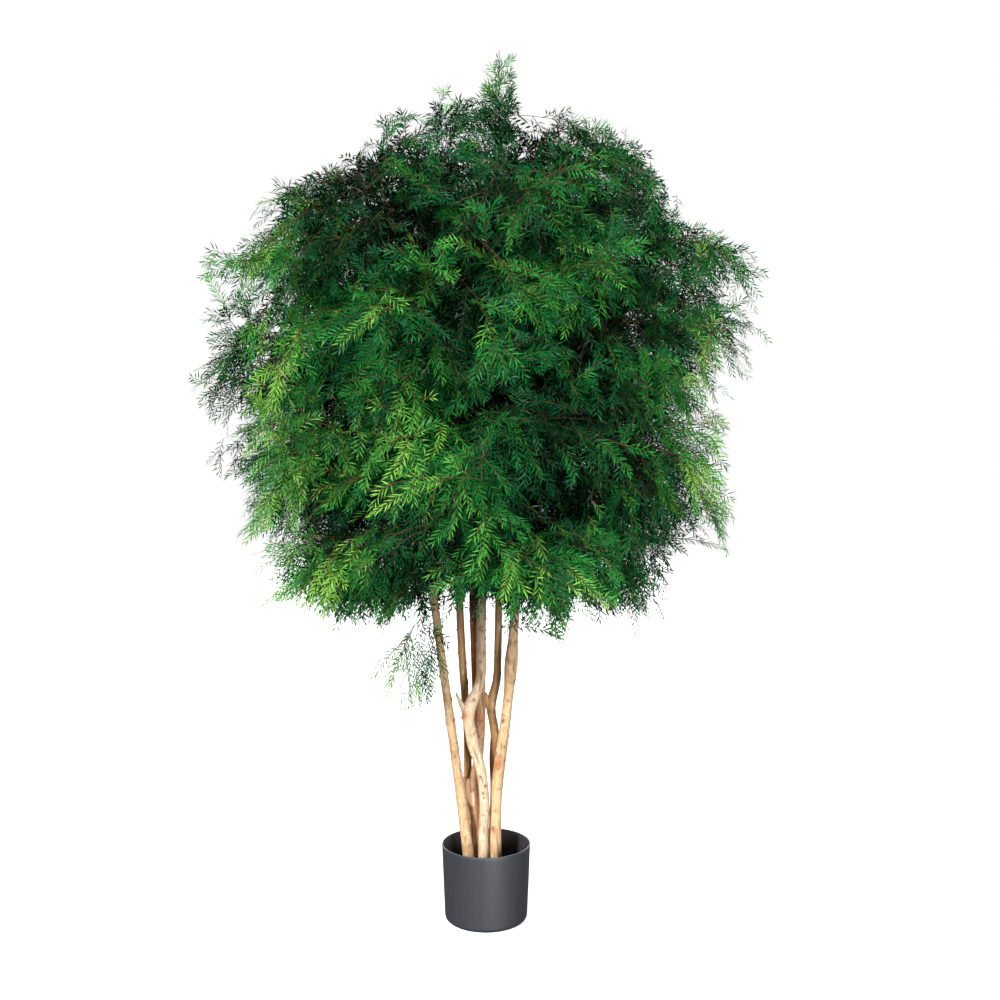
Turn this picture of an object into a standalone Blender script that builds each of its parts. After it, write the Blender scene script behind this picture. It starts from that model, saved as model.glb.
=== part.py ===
"""Potted yew tree with preserved foliage, about 2 m tall.

Seven peeled stems stand in the filling of a round pot, spread into a full crown, and carry boughs. Each
bough ends at a mass of foliage: a stem with side twigs and toothed sprays, which keeps to its own space.

Metres, +Z up. The origin is the middle of the pot's flat underside, and the front looks towards -Y.
"""

import math
import random

import bmesh
import bpy
import numpy as np

GAP = 0.0003
WELD = 0.00001
FLAT_ENOUGH = math.radians(0.6)
UP = np.array((0.0, 0.0, 1.0))
GOLDEN_TURN = math.radians(137.508)

# Pot: a thin shell, a little narrower at its foot, with a rounded bottom edge
POT_HEIGHT = 0.171
POT_RIM_RADIUS = 0.102
POT_FOOT_RADIUS = 0.0945
POT_FOOT_ROUND = 0.010
POT_WALL = 0.003
POT_SIDES = 32
FILLING_TOP = 0.092
FILLING_CLEAR = 0.0004

# Stems: the middle of each at its foot (x, y), where it enters the crown and at its head (x, y, z), its
# radius at foot and head, the flare of its root, the spacing of its rings below the crown, its bends
# (height, x, y, spread) and its swells (height, radius, spread)
STEM_FOOT = FILLING_TOP + GAP
STEM_FOOT_RISE = 0.006
STEM_CROWN_RINGS = 7
STEM_SIDES = 8
FLARE_HEIGHT = 0.05
STEMS = {
    "left_stem": dict(
        foot=(-0.033, -0.014), waist=(-0.116, -0.024, 0.712), head=(-0.235, -0.060, 1.30),
        radii=(0.0122, 0.0066), flare=0.0012, step=0.100, colour="#d6b588",
        bends=(),
        swells=((0.455, 0.0012, 0.02),),
    ),
    "back_left_stem": dict(
        foot=(-0.038, 0.038), waist=(-0.062, 0.052, 0.687), head=(-0.150, 0.150, 1.44),
        radii=(0.0108, 0.0062), flare=0.0, step=0.090, colour="#b58e60",
        bends=((0.42, 0.006, 0.0, 0.12),),
        swells=(),
    ),
    "red_stem": dict(
        foot=(-0.008, 0.047), waist=(-0.030, 0.058, 0.640), head=(0.010, 0.190, 1.34),
        radii=(0.0105, 0.0062), flare=0.0, step=0.120, colour="#9c643c",
        bends=(),
        swells=(),
    ),
    "leader_stem": dict(
        foot=(-0.021, 0.013), waist=(-0.010, 0.022, 0.700), head=(0.028, 0.004, 1.72),
        radii=(0.0118, 0.0056), flare=0.0, step=0.040, colour="#a5835c",
        bends=((0.30, -0.012, 0.0, 0.05), (0.46, 0.002, 0.002, 0.05)),
        swells=((0.25, 0.0012, 0.03), (0.52, 0.0008, 0.03)),
    ),
    "twisted_stem": dict(
        foot=(-0.0055, -0.016), waist=(-0.0115, -0.024, 0.680), head=(-0.030, -0.150, 1.46),
        radii=(0.0122, 0.0064), flare=0.0010, step=0.032, colour="#e2cba4",
        bends=((0.475, -0.029, -0.004, 0.050), (0.405, -0.017, 0.0, 0.050), (0.26, 0.004, 0.0, 0.05)),
        swells=((0.485, 0.0042, 0.03), (0.41, 0.0026, 0.04), (0.60, 0.0018, 0.05)),
    ),
    "forked_stem": dict(
        foot=(0.016, 0.036), waist=(0.029, 0.048, 0.712), head=(0.090, 0.120, 1.40),
        radii=(0.0112, 0.0062), flare=0.0, step=0.045, colour="#b08a5e",
        bends=((0.475, -0.013, 0.0, 0.045), (0.36, -0.004, 0.0, 0.05)),
        swells=((0.49, 0.0016, 0.03),),
    ),
    "main_stem": dict(
        foot=(0.0240, -0.002), waist=(0.0720, -0.012, 0.780), head=(0.215, -0.040, 1.42),
        radii=(0.0136, 0.0070), flare=0.0022, step=0.060, colour="#dcbd8b",
        bends=((0.28, -0.014, 0.0, 0.16), (0.95, 0.026, 0.0, 0.09)),
        swells=((0.585, 0.0046, 0.045), (0.36, 0.0010, 0.08)),
    ),
}

# Crown: height, and how far the tips reach to the left and to the right of the pot's axis there
CROWN_PROFILE = (
    (0.64, 0.32, 0.28),
    (0.70, 0.52, 0.44),
    (0.86, 0.600, 0.580),
    (1.05, 0.665, 0.610),
    (1.25, 0.715, 0.650),
    (1.42, 0.710, 0.700),
    (1.52, 0.690, 0.690),
    (1.60, 0.610, 0.590),
    (1.70, 0.520, 0.480),
    (1.80, 0.360, 0.370),
    (1.88, 0.230, 0.210),
    (1.93, 0.120, 0.110),
)
CROWN_DEPTH = 0.93
CROWN_FLOOR = 0.750
CROWN_FLOOR_DIP = 0.115
CROWN_FLOOR_REACH = 0.34

# Tiers of masses round the stems: how many, the first one's azimuth in degrees, the height of their
# middles, where boughs hand over to them, the end of their own stems (share of the crown's reach, and
# height), how much their twigs sag and how far their sprays face outward instead of up
TIERS = {
    "skirt": dict(count=5, turn=0, height=0.83, entry=0.90, stem=(0.62, 0.86), sag=0.55, face=1.8),
    "low": dict(count=6, turn=30, height=1.04, entry=1.10, stem=(0.64, 1.08), sag=0.45, face=1.7),
    "middle": dict(count=5, turn=36, height=1.27, entry=1.31, stem=(0.66, 1.33), sag=0.32, face=1.6),
    "high": dict(count=5, turn=0, height=1.50, entry=1.51, stem=(0.66, 1.56), sag=0.16, face=1.4),
    "shoulder": dict(count=3, turn=90, height=1.70, entry=1.60, stem=(0.56, 1.70), sag=0.03, face=1.6),
}
MIDDLE_SHARE = 0.58
ENTRY_SHARE = 0.40

# Two masses outside the tiers: their middles, the half sizes of their spaces and their outer tips
LONE_MASSES = {
    "top_foliage": dict(
        middle=(-0.005, 0.0, 1.885), half=(0.125, 0.115, 0.125), tip=(0.030, -0.004, 1.900), sag=-0.05,
        facing=(0.1, -1.0, 0.2), size=0.8,
    ),
    "hanging_foliage": dict(
        middle=(-0.168, -0.095, 0.620), half=(0.100, 0.095, 0.128), tip=(-0.190, -0.120, 0.640), sag=0.60,
        facing=(-0.3, -1.0, 0.3), size=0.5, from_stem="left_stem", from_height=0.700,
    ),
}

# Boughs
BOUGH_RISE = 0.50
BOUGH_POINTS = 5
BOUGH_SIDES = 6
BOUGH_ROOT_RADIUS = 0.0062
BOUGH_GIRTH_GROWTH = 0.008
BOUGH_TIP_RADIUS = 0.0044
BOUGH_CLEAR = 0.0015
HEAD_TIERS = ("high", "shoulder")
START_SHIFTS = (0, 0.03, -0.03, 0.06, -0.06, 0.09, -0.09)
SIDE_START_COST = 0.05

# A mass: its stem, twigs along it, and sprays at the ends of both and along their sides
SPACE_CLEAR = 0.0015
LIMB_CLEAR = 0.0045
SHOOT_CLEAR = 0.007
SHOOT_FREE = 0.05
ROOT_FREE = 0.015
MASS_STEM_RADIUS = 0.0042
STEM_POINTS = 4
STEM_TURNS = (0, 8, -8, 16, -16, 24, -24)
TWIGS = 5
TWIG_RADIUS = 0.0026
TWIG_TIP_SHARE = 0.60
TWIG_TRIES = 8
TWIG_SPAN = (0.18, 0.90)
TWIG_LONGEST = 0.30
TWIG_SHORTEST = 0.03
TWIG_OPENING = (math.radians(72), math.radians(42))
TWIG_FLATNESS = 0.75
SPRAY_LONGEST = 0.260
SPRAY_SHORTEST = 0.110
SHOOTS_AT_MOST = 10
SPRAY_SHARE = 0.60
SPRAY_RIDGE_SHARE = 0.020
SPRAY_SAG = 0.26
SPRAY_TRIES = 8
SPRAY_SWING = 0.12
SPRAY_ROLL = 0.45
SPRAY_SAMPLES = 4
# Stations of a spray, as shares of its length: place, half-width, and how far the edge is swept forward
SPRAY_STATIONS = np.array(
    ((0.16, 0.26, 0.18), (0.36, 0.08, 0.0), (0.50, 0.20, 0.17), (0.69, 0.06, 0.0), (1.0, 0.0, 0.0))
)
# Where side sprays grow: share of the run and opening angle in degrees
SIDE_SPRAYS = {"stem": ((0.75, 50),), "twig": ((0.45, 55),)}
TIER_GREENS = {
    "skirt": "#236b2c",
    "low": "#2c7a30",
    "middle": "#2f7d36",
    "high": "#1c6a38",
    "shoulder": "#145a34",
    "top_foliage": "#125233",
    "hanging_foliage": "#1d6136",
}


def unit(vector):
    return vector / np.linalg.norm(vector)


def unit_rows(rows):
    return rows / np.linalg.norm(rows, axis=1)[:, None]


def turned(vector, axis, angle):
    """The vector turned about a unit axis."""
    cosine, sine = math.cos(angle), math.sin(angle)
    return vector * cosine + np.cross(axis, vector) * sine + axis * (axis @ vector) * (1 - cosine)


def outward(azimuth):
    return np.array((math.cos(azimuth), math.sin(azimuth), 0.0))


def bezier(start, first, second, end, count):
    t = np.linspace(0, 1, count)[:, None]
    return (1 - t) ** 3 * start + 3 * t * (1 - t) ** 2 * first + 3 * t * t * (1 - t) * second + t**3 * end


# Stems


def bump(height, middle, spread):
    return np.exp(-(((height - middle) / spread) ** 2))


def stem_path(name):
    """Points and radii of a stem: straight up to its waist, then leaning over to its head, with bends."""
    stem = STEMS[name]
    foot, waist, head = (np.array(stem[key]) for key in ("foot", "waist", "head"))
    heights = np.arange(STEM_FOOT, CROWN_FLOOR, stem["step"])
    crown = np.linspace(heights[-1] + stem["step"], head[2], STEM_CROWN_RINGS)
    heights = np.concatenate((heights, crown))
    rise = (heights - STEM_FOOT) / (waist[2] - STEM_FOOT)
    points = np.column_stack((foot + np.outer(rise, waist[:2] - foot), heights))
    lean = head[:2] - points[-1, :2]
    points[:, :2] += np.outer(np.clip((heights - waist[2]) / (head[2] - waist[2]), 0, 1) ** 2, lean)
    for height, x, y, spread in stem["bends"]:
        points[:, :2] += np.outer(bump(heights, height, spread), (x, y))
    radii = np.interp(heights, (STEM_FOOT, head[2]), stem["radii"])
    radii += stem["flare"] * np.exp((STEM_FOOT - heights) / FLARE_HEIGHT)
    for height, swell, spread in stem["swells"]:
        radii += swell * bump(heights, height, spread)
    # A short upright start keeps the cut at the foot level.
    foot = points[0].copy()
    points[0] += (0, 0, STEM_FOOT_RISE)
    return np.vstack((foot, points)), np.append(radii[0], radii)


def stem_at(path, height):
    """Middle, direction and radius of a stem at a height."""
    points, radii = path
    below = np.clip(np.searchsorted(points[:, 2], height) - 1, 0, len(points) - 2)
    share = (height - points[below, 2]) / (points[below + 1, 2] - points[below, 2])
    middle = points[below] + share * (points[below + 1] - points[below])
    radius = radii[below] + share * (radii[below + 1] - radii[below])
    return middle, unit(points[below + 1] - points[below]), radius


# Crown


def crown_reach(azimuth, height):
    """How far the tips reach from the pot's axis."""
    heights, left, right = np.array(CROWN_PROFILE).T
    left, right = np.interp(height, heights, left), np.interp(height, heights, right)
    deep = CROWN_DEPTH * (left + right) / 2
    return deep + (np.where(np.cos(azimuth) < 0, left, right) - deep) * np.cos(azimuth) ** 2


def crown_spot(azimuth, height, share):
    """A point at a share of the crown's reach."""
    return outward(azimuth) * crown_reach(azimuth, height) * share + height * UP


def plan_masses():
    """Each mass's middle, outer tip, facing and the point where its bough hands over to it."""
    masses = {}
    for tier, row in TIERS.items():
        for number in range(row["count"]):
            azimuth = math.radians(row["turn"]) + number * math.tau / row["count"]
            masses[f"{tier}_foliage_{number + 1}"] = dict(
                middle=crown_spot(azimuth, row["height"], MIDDLE_SHARE),
                entry=crown_spot(azimuth, row["entry"], ENTRY_SHARE),
                tip=crown_spot(azimuth, row["stem"][1], row["stem"][0]),
                facing=unit(UP + outward(azimuth) * row["face"]),
                sag=row["sag"],
                size=1.0,
                tier=tier,
            )
    for name, row in LONE_MASSES.items():
        masses[name] = row | {key: np.array(row[key]) for key in ("middle", "half", "tip")}
        masses[name] |= dict(facing=unit(np.array(row["facing"])), tier=name)
    middles = np.array([mass["middle"] for mass in masses.values()])
    for number, mass in enumerate(masses.values()):
        others = np.delete(middles, number, axis=0)
        mass["normals"] = unit_rows(others - mass["middle"])
        mass["offsets"] = (mass["normals"] * (others + mass["middle"]) / 2).sum(axis=1)
    return masses


def inside(points, mass):
    """Which points are in the mass's own space: nearer its middle than another's, and in the crown."""
    points = np.atleast_2d(points)
    kept = (points @ mass["normals"].T < mass["offsets"] - SPACE_CLEAR).all(axis=1)
    if "half" in mass:
        return kept & ((((points - mass["middle"]) / mass["half"]) ** 2).sum(axis=1) < 1)
    radius = np.hypot(points[:, 0], points[:, 1])
    dip = CROWN_FLOOR_DIP * np.minimum(1, radius / CROWN_FLOOR_REACH)
    kept &= radius < crown_reach(np.arctan2(points[:, 1], points[:, 0]), points[:, 2])
    return kept & (points[:, 2] > CROWN_FLOOR - dip)


def room(start, heading, sag, mass, longest):
    """How far a spray that sags can run from a point before it leaves the mass's space."""
    steps = np.arange(0.01, longest + 0.01, 0.01)
    kept = inside(start + steps[:, None] * (heading - sag * UP), mass)
    return longest if kept.all() else steps[np.argmin(kept)] - 0.01


# Clearances


def limb_rows(points, radii):
    """Rows of start, end and radius for the straight pieces of a limb."""
    return np.column_stack((points[:-1], points[1:], np.maximum(radii[:-1], radii[1:])))


def clearance(points, rows):
    """The least distance from any of the points to the surface of any limb."""
    if not len(rows):
        return math.inf
    start, run, radius = rows[:, :3], rows[:, 3:6] - rows[:, :3], rows[:, 6]
    share = ((points[:, None] - start) * run).sum(axis=2) / (run**2).sum(axis=1)
    nearest = start + np.clip(share, 0, 1)[..., None] * run
    return (np.linalg.norm(points[:, None] - nearest, axis=2) - radius).min()


def along(points, spacing=0.006):
    """Points at an even spacing along a limb."""
    runs = np.linalg.norm(np.diff(points, axis=0), axis=1)
    reach = np.append(0, np.cumsum(runs))
    marks = np.linspace(0, reach[-1], max(2, int(reach[-1] / spacing)))
    return np.column_stack([np.interp(marks, reach, points[:, axis]) for axis in range(3)])


# Boughs


def bough_path(stem, height, mass):
    """A bough that leaves a stem squarely at a height, or goes on from its head, and ends at the mass."""
    entry, arrive = mass["entry"], unit(mass["tip"] - mass["entry"])
    if height is None:
        points, radii = stem
        heading, root_radius = unit(points[-1] - points[-2]), radii[-1] * 0.92
        start = points[-1] + heading * GAP
    else:
        middle, axis, radius = stem_at(stem, height)
        heading = (entry - middle) * (1, 1, 0)
        heading = unit(heading - axis * (heading @ axis))
        start = middle + heading * (radius + GAP)
        root_radius = None
    length = np.linalg.norm(entry - start)
    if root_radius is None:
        root_radius = BOUGH_ROOT_RADIUS + BOUGH_GIRTH_GROWTH * length
    points = bezier(
        start, start + heading * length * 0.20, entry - arrive * length * 0.40, entry, BOUGH_POINTS
    )
    # The first piece keeps the root's heading, so that its cut lies square to it.
    points[1] = start + heading * np.linalg.norm(points[1] - start)
    radii = np.linspace(root_radius, BOUGH_TIP_RADIUS, BOUGH_POINTS)
    return points, radii


def plan_boughs(masses, stems):
    """The first clear bough for each mass, nearest stems and heads first."""
    boughs, used_heads = {}, {"leader_stem"}
    limbs = np.vstack([limb_rows(*path) for path in stems.values()])
    for name, mass in masses.items():
        if "entry" not in mass:
            continue
        tries = []
        for stem, path in stems.items():
            head = path[0][-1]
            if mass["tier"] in HEAD_TIERS and stem not in used_heads:
                tries.append((np.linalg.norm(head - mass["entry"]), stem, None))
            for shift in START_SHIFTS:
                spread = np.linalg.norm((path[0][-1] - mass["entry"])[:2])
                height = mass["entry"][2] - BOUGH_RISE * spread + shift
                if height < head[2] - 0.03:
                    middle = stem_at(path, height)[0]
                    cost = np.linalg.norm(middle - mass["entry"]) + abs(shift) + SIDE_START_COST
                    tries.append((cost, stem, height))
        for _, stem, height in sorted(tries, key=lambda row: row[0]):
            points, radii = bough_path(stems[stem], height, mass)
            checked = along(points)[3:]
            if clearance(checked, limbs) > radii[0] + BOUGH_CLEAR:
                break
        else:
            raise RuntimeError(f"no clear way for the bough of {name}")
        if height is None:
            used_heads.add(stem)
        limbs = np.vstack((limbs, limb_rows(points, radii)))
        boughs[name.replace("foliage", "bough")] = mass["bough"] = (points, radii)
    return boughs


# Masses of foliage


def mass_stem(mass, stems):
    """Start, heading and sag-bent path of a mass's own stem, for each outer tip that it tries in turn."""
    if "from_stem" in mass:
        middle, axis, radius = stem_at(stems[mass["from_stem"]], mass["from_height"])
        heading = (mass["tip"] - middle) * (1, 1, 0)
        heading = unit(heading - axis * (heading @ axis))
        start = middle + heading * (radius + GAP)
    else:
        points = mass["bough"][0] if "bough" in mass else stems["leader_stem"][0]
        heading = unit(points[-1] - points[-2])
        start = points[-1] + heading * GAP
    for turn in STEM_TURNS:
        tip = start + turned(mass["tip"] - start, UP, math.radians(turn))
        length = np.linalg.norm(tip - start)
        arrive = unit(unit(tip - start) - mass["sag"] * UP)
        points = bezier(start, start + heading * length / 3, tip - arrive * length / 3, tip, STEM_POINTS)
        points[1] = start + heading * np.linalg.norm(points[1] - start)
        yield points


def bowed(shares, heading, length):
    """The way from a spray's root to shares of its length, on a course that sags towards its tip."""
    return np.outer(shares * length, heading) - np.outer(shares**2 * length * SPRAY_SAG, UP)


def shoot(limb, radii, heading, length, width, facing):
    """Rings of a three-sided limb that runs out into a toothed spray, which bows down towards its tip."""
    shares, halves, sweeps = SPRAY_STATIONS.T
    halves = halves * length * width
    spray = limb[-1] + bowed(shares, heading, length)
    points = np.vstack((limb, spray))
    tangents = unit_rows(np.gradient(points, axis=0))
    across = np.cross(facing, points[-1] - points[0])
    sides = unit_rows(across - tangents * (tangents @ across)[:, None])
    ridges = np.cross(tangents, sides)
    thick = np.append(radii * 1.5, SPRAY_RIDGE_SHARE * length * np.linspace(1, 0.6, len(spray)))
    low = points - ridges * thick[:, None] / 3
    # The teeth are swept forward on the bow, because straight ones would rise through the ridge.
    low[len(limb) :] += bowed(shares + sweeps, heading, length) - bowed(shares, heading, length)
    spread = sides * np.append(radii * math.cos(math.pi / 6), halves)[:, None]
    high = points + ridges * thick[:, None] * 2 / 3
    return np.stack((low + spread, low - spread, high), axis=1)


def samples(shell):
    """Points all over a shoot, from its ridge out to its edges."""
    shares = np.linspace(0, 1, SPRAY_SAMPLES)[:, None, None]
    spots = []
    for edge in (0, 1):
        outer = along(shell[:, edge], 0.008)
        marks = np.linspace(0, len(shell) - 1, len(outer))
        inner = np.column_stack([np.interp(marks, range(len(shell)), shell[:, 2, k]) for k in range(3)])
        spots.append((inner + shares * (outer - inner)).reshape(-1, 3))
    return np.vstack(spots)


def fits(shell, mass, limbs, taken):
    """The points of a shoot away from its root, if it keeps to the mass's space and clear of the rest."""
    spots = samples(shell)
    reach = np.linalg.norm(spots - shell[0].mean(axis=0), axis=1)
    if not inside(shell[1:].reshape(-1, 3), mass).all():
        return None
    if clearance(spots[reach > ROOT_FREE], limbs) < LIMB_CLEAR:
        return None
    far = spots[reach > SHOOT_FREE]
    return None if np.linalg.norm(far[:, None] - taken, axis=2).min() < SHOOT_CLEAR else far


def grow_mass(mass, stems, limbs, rng):
    """The mass's stem, twigs and side sprays as rings, each kept to the mass's space and clear of limbs."""
    facing, shoots, runs, taken = mass["facing"], [], [], np.full((1, 3), 9.0)
    longest, shortest = SPRAY_LONGEST * mass["size"], SPRAY_SHORTEST * mass["size"]

    def add(limb, radii, heading, length, width, turn=0.0):
        nonlocal taken
        tilt = facing + outward(turn) * SPRAY_ROLL if turn else facing
        shell = shoot(limb, radii, heading, length, width, tilt)
        far = fits(shell, mass, limbs, taken)
        if far is None:
            return False
        shoots.append(shell)
        taken = np.vstack((taken, far))
        return True

    radii = np.linspace(MASS_STEM_RADIUS, MASS_STEM_RADIUS * TWIG_TIP_SHARE, STEM_POINTS)
    for path in mass_stem(mass, stems):
        heading = unit(path[-1] - path[-2])
        length = room(path[-1], heading, SPRAY_SAG, mass, longest) * 0.95
        if length > shortest / 2 and add(path, radii, heading, length, 1.0):
            runs.append((path, SIDE_SPRAYS["stem"]))
            break
    else:
        raise RuntimeError("no clear way for the stem of a mass")

    phase, run = rng.uniform(0, math.tau), along(path, 0.004)
    for number in range(TWIGS):
        share = TWIG_SPAN[0] + (TWIG_SPAN[1] - TWIG_SPAN[0]) * number / (TWIGS - 1)
        place = int(share * (len(run) - 2))
        base, axis = run[place], unit(run[place + 1] - run[place])
        side = unit(np.cross(axis, facing))
        lift = np.cross(side, axis)
        opening = TWIG_OPENING[0] + (TWIG_OPENING[1] - TWIG_OPENING[0]) * share
        for attempt in range(TWIG_TRIES):
            roll = phase + number * GOLDEN_TURN + attempt * GOLDEN_TURN / 3
            fan = unit(side * math.cos(roll) + lift * math.sin(roll) * TWIG_FLATNESS)
            heading = axis * math.cos(opening) + fan * math.sin(opening)
            heading = unit(heading - UP * mass["sag"] * rng.uniform(0.2, 0.7))
            reach = room(base, heading, SPRAY_SAG * SPRAY_SHARE, mass, TWIG_LONGEST + longest)
            reach *= rng.uniform(0.88, 0.97)
            length = min(max(reach * SPRAY_SHARE, shortest), longest)
            if reach - length < TWIG_SHORTEST:
                continue
            twig = base + np.outer((0, reach - length), heading)
            twig_radii = np.array((TWIG_RADIUS, TWIG_RADIUS * TWIG_TIP_SHARE))
            if add(twig, twig_radii, heading, length, rng.uniform(0.85, 1.15), rng.uniform(0, math.tau)):
                runs.append((twig, SIDE_SPRAYS["twig"]))
                break

    for path, spots in reversed(runs):
        run = along(path, 0.004)
        for share, angle in spots:
            if len(shoots) == SHOOTS_AT_MOST:
                break
            place = int(share * (len(run) - 2))
            base, axis = run[place], unit(run[place + 1] - run[place])
            for attempt in range(SPRAY_TRIES):
                swing = math.radians(angle) * (1 - 2 * (attempt % 2)) + (attempt // 2) * SPRAY_SWING
                heading = turned(axis, unit(facing - axis * (facing @ axis)), swing)
                heading = unit(heading - UP * mass["sag"] * rng.uniform(0.2, 0.9))
                reach = room(base, heading, SPRAY_SAG, mass, longest) * rng.uniform(0.88, 0.97)
                width, turn = rng.uniform(0.85, 1.15), rng.uniform(0, math.tau)
                root = np.array((TWIG_RADIUS * TWIG_TIP_SHARE,))
                if reach > shortest and add(base[None], root, heading, reach, width, turn):
                    break
    return shoots


# Solids


def linear(colour):
    """A Principled base colour from an sRGB hex value."""
    parts = [int(colour[start : start + 2], 16) / 255 for start in (1, 3, 5)]
    return [c / 12.92 if c <= 0.04045 else ((c + 0.055) / 1.055) ** 2.4 for c in parts] + [1.0]


def material(name, colour, roughness):
    made = bpy.data.materials.new(name)
    made.use_nodes = True
    shader = made.node_tree.nodes["Principled BSDF"]
    shader.inputs["Base Color"].default_value = linear(colour)
    shader.inputs["Roughness"].default_value = roughness
    shader.inputs["Metallic"].default_value = 0.0
    return made


def add_object(name, data, finish, collection):
    made = bpy.data.objects.new(name, data)
    if finish:
        data.materials.append(finish)
    collection.objects.link(made)
    return made


def tube(name, points, radii, sides, finish, collection):
    """A round limb as a curve with filled caps."""
    curve = bpy.data.curves.new(name, "CURVE")
    curve.dimensions = "3D"
    curve.use_fill_caps = True
    curve.bevel_depth = 1.0
    curve.bevel_resolution = sides // 2 - 2
    spline = curve.splines.new("POLY")
    spline.points.add(len(points) - 1)
    for spot, point, radius in zip(spline.points, points, radii):
        spot.co = (*point, 1)
        spot.radius = radius
    return add_object(name, curve, finish, collection)


def loft(name, shell, finish, collection):
    """A closed solid through rings of left edge, right edge and ridge, with its last ring drawn to a tip."""
    solid = bmesh.new()
    rows = [[solid.verts.new(point) for point in ring] for ring in shell[:-1]]
    apex = solid.verts.new(shell[-1].mean(axis=0))
    solid.faces.new(rows[0])
    for (left, right, ridge), (next_left, next_right, next_ridge) in zip(rows, rows[1:]):
        # The upper faces are split from ridge to edge, which keeps them flat where the teeth are cut in.
        solid.faces.new((right, left, next_left, next_right))
        solid.faces.new((left, ridge, next_left))
        solid.faces.new((ridge, next_ridge, next_left))
        solid.faces.new((ridge, right, next_right))
        solid.faces.new((ridge, next_right, next_ridge))
    for k in range(3):
        solid.faces.new((rows[-1][k], rows[-1][k - 1], apex))
    bmesh.ops.triangulate(solid, faces=solid.faces)
    if solid.calc_volume(signed=True) < 0:
        bmesh.ops.reverse_faces(solid, faces=solid.faces)
    mesh = bpy.data.meshes.new(name)
    solid.to_mesh(mesh)
    solid.free()
    return add_object(name, mesh, finish, collection)


def keep_largest_body(mesh):
    """Drops loose scraps and the walls of sealed hollows."""
    shell = bmesh.new()
    shell.from_mesh(mesh)
    bmesh.ops.remove_doubles(shell, verts=shell.verts, dist=WELD)
    bmesh.ops.dissolve_limit(shell, angle_limit=FLAT_ENOUGH, verts=shell.verts, edges=shell.edges)
    bodies, seen = [], set()
    for first in shell.verts:
        if first in seen:
            continue
        body, reach = {first}, [first]
        while reach:
            for edge in reach.pop().link_edges:
                for vertex in edge.verts:
                    if vertex not in body:
                        body.add(vertex)
                        reach.append(vertex)
        seen |= body
        bodies.append(body)
    main = max(bodies, key=len)
    bmesh.ops.delete(shell, geom=[v for v in shell.verts if v not in main], context="VERTS")
    bmesh.ops.triangulate(shell, faces=shell.faces)
    shell.to_mesh(mesh)
    shell.free()


def fuse(name, main, pieces, finish, collection):
    """One solid of a main object and everything in a collection, which is emptied."""
    union = main.modifiers.new("fused", "BOOLEAN")
    union.operation = "UNION"
    union.operand_type = "COLLECTION"
    union.collection = pieces
    # The exact solver leaves open edges between these thin pieces.
    union.solver = "MANIFOLD"
    graph = bpy.context.evaluated_depsgraph_get()
    mesh = bpy.data.meshes.new_from_object(main.evaluated_get(graph))
    for helper in [main, *pieces.objects]:
        bpy.data.objects.remove(helper)
    mesh.name = name
    mesh.materials.clear()
    keep_largest_body(mesh)
    return add_object(name, mesh, finish, collection)


def add_pot(collection):
    """A shell turned from its profile: up the inner wall, over the rim and down the outside."""
    slope = (POT_RIM_RADIUS - POT_FOOT_RADIUS) / POT_HEIGHT
    corner = [
        (POT_FOOT_RADIUS - POT_FOOT_ROUND * (1 - math.cos(turn)), POT_FOOT_ROUND * (1 - math.sin(turn)))
        for turn in np.linspace(0, math.pi / 2, 5)
    ]
    profile = [
        (0, POT_WALL),
        (POT_FOOT_RADIUS - POT_FOOT_ROUND, POT_WALL),
        (pot_inner_radius(POT_FOOT_ROUND), POT_FOOT_ROUND),
        (pot_inner_radius(POT_HEIGHT), POT_HEIGHT),
        (POT_RIM_RADIUS, POT_HEIGHT),
        *[(x + slope * z, z) for x, z in corner],
        (0, 0),
    ]
    mesh = bpy.data.meshes.new("pot")
    mesh.from_pydata([(x, 0, z) for x, z in profile], [(k, k + 1) for k in range(len(profile) - 1)], [])
    pot = add_object("pot", mesh, material("moulded blue-grey plastic", "#4b4f58", 0.42), collection)
    turn = pot.modifiers.new("turned", "SCREW")
    turn.steps = turn.render_steps = POT_SIDES
    turn.use_merge_vertices = True
    turn.merge_threshold = 0.0001
    turn.use_smooth_shade = True


def pot_inner_radius(height):
    share = height / POT_HEIGHT
    return POT_FOOT_RADIUS + share * (POT_RIM_RADIUS - POT_FOOT_RADIUS) - POT_WALL


def add_filling(collection):
    """The cast block that weighs the pot down and holds the stems."""
    foot, top = POT_FOOT_ROUND + GAP, FILLING_TOP
    block = bmesh.new()
    bmesh.ops.create_cone(
        block,
        cap_ends=True,
        segments=POT_SIDES,
        radius1=pot_inner_radius(foot) - FILLING_CLEAR,
        radius2=pot_inner_radius(top) - FILLING_CLEAR,
        depth=top - foot,
    )
    mesh = bpy.data.meshes.new("pot_filling")
    block.to_mesh(mesh)
    block.free()
    filling = add_object("pot_filling", mesh, material("dark cast cement", "#2a2622", 0.9), collection)
    filling.location = (0, 0, (foot + top) / 2)


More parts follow.
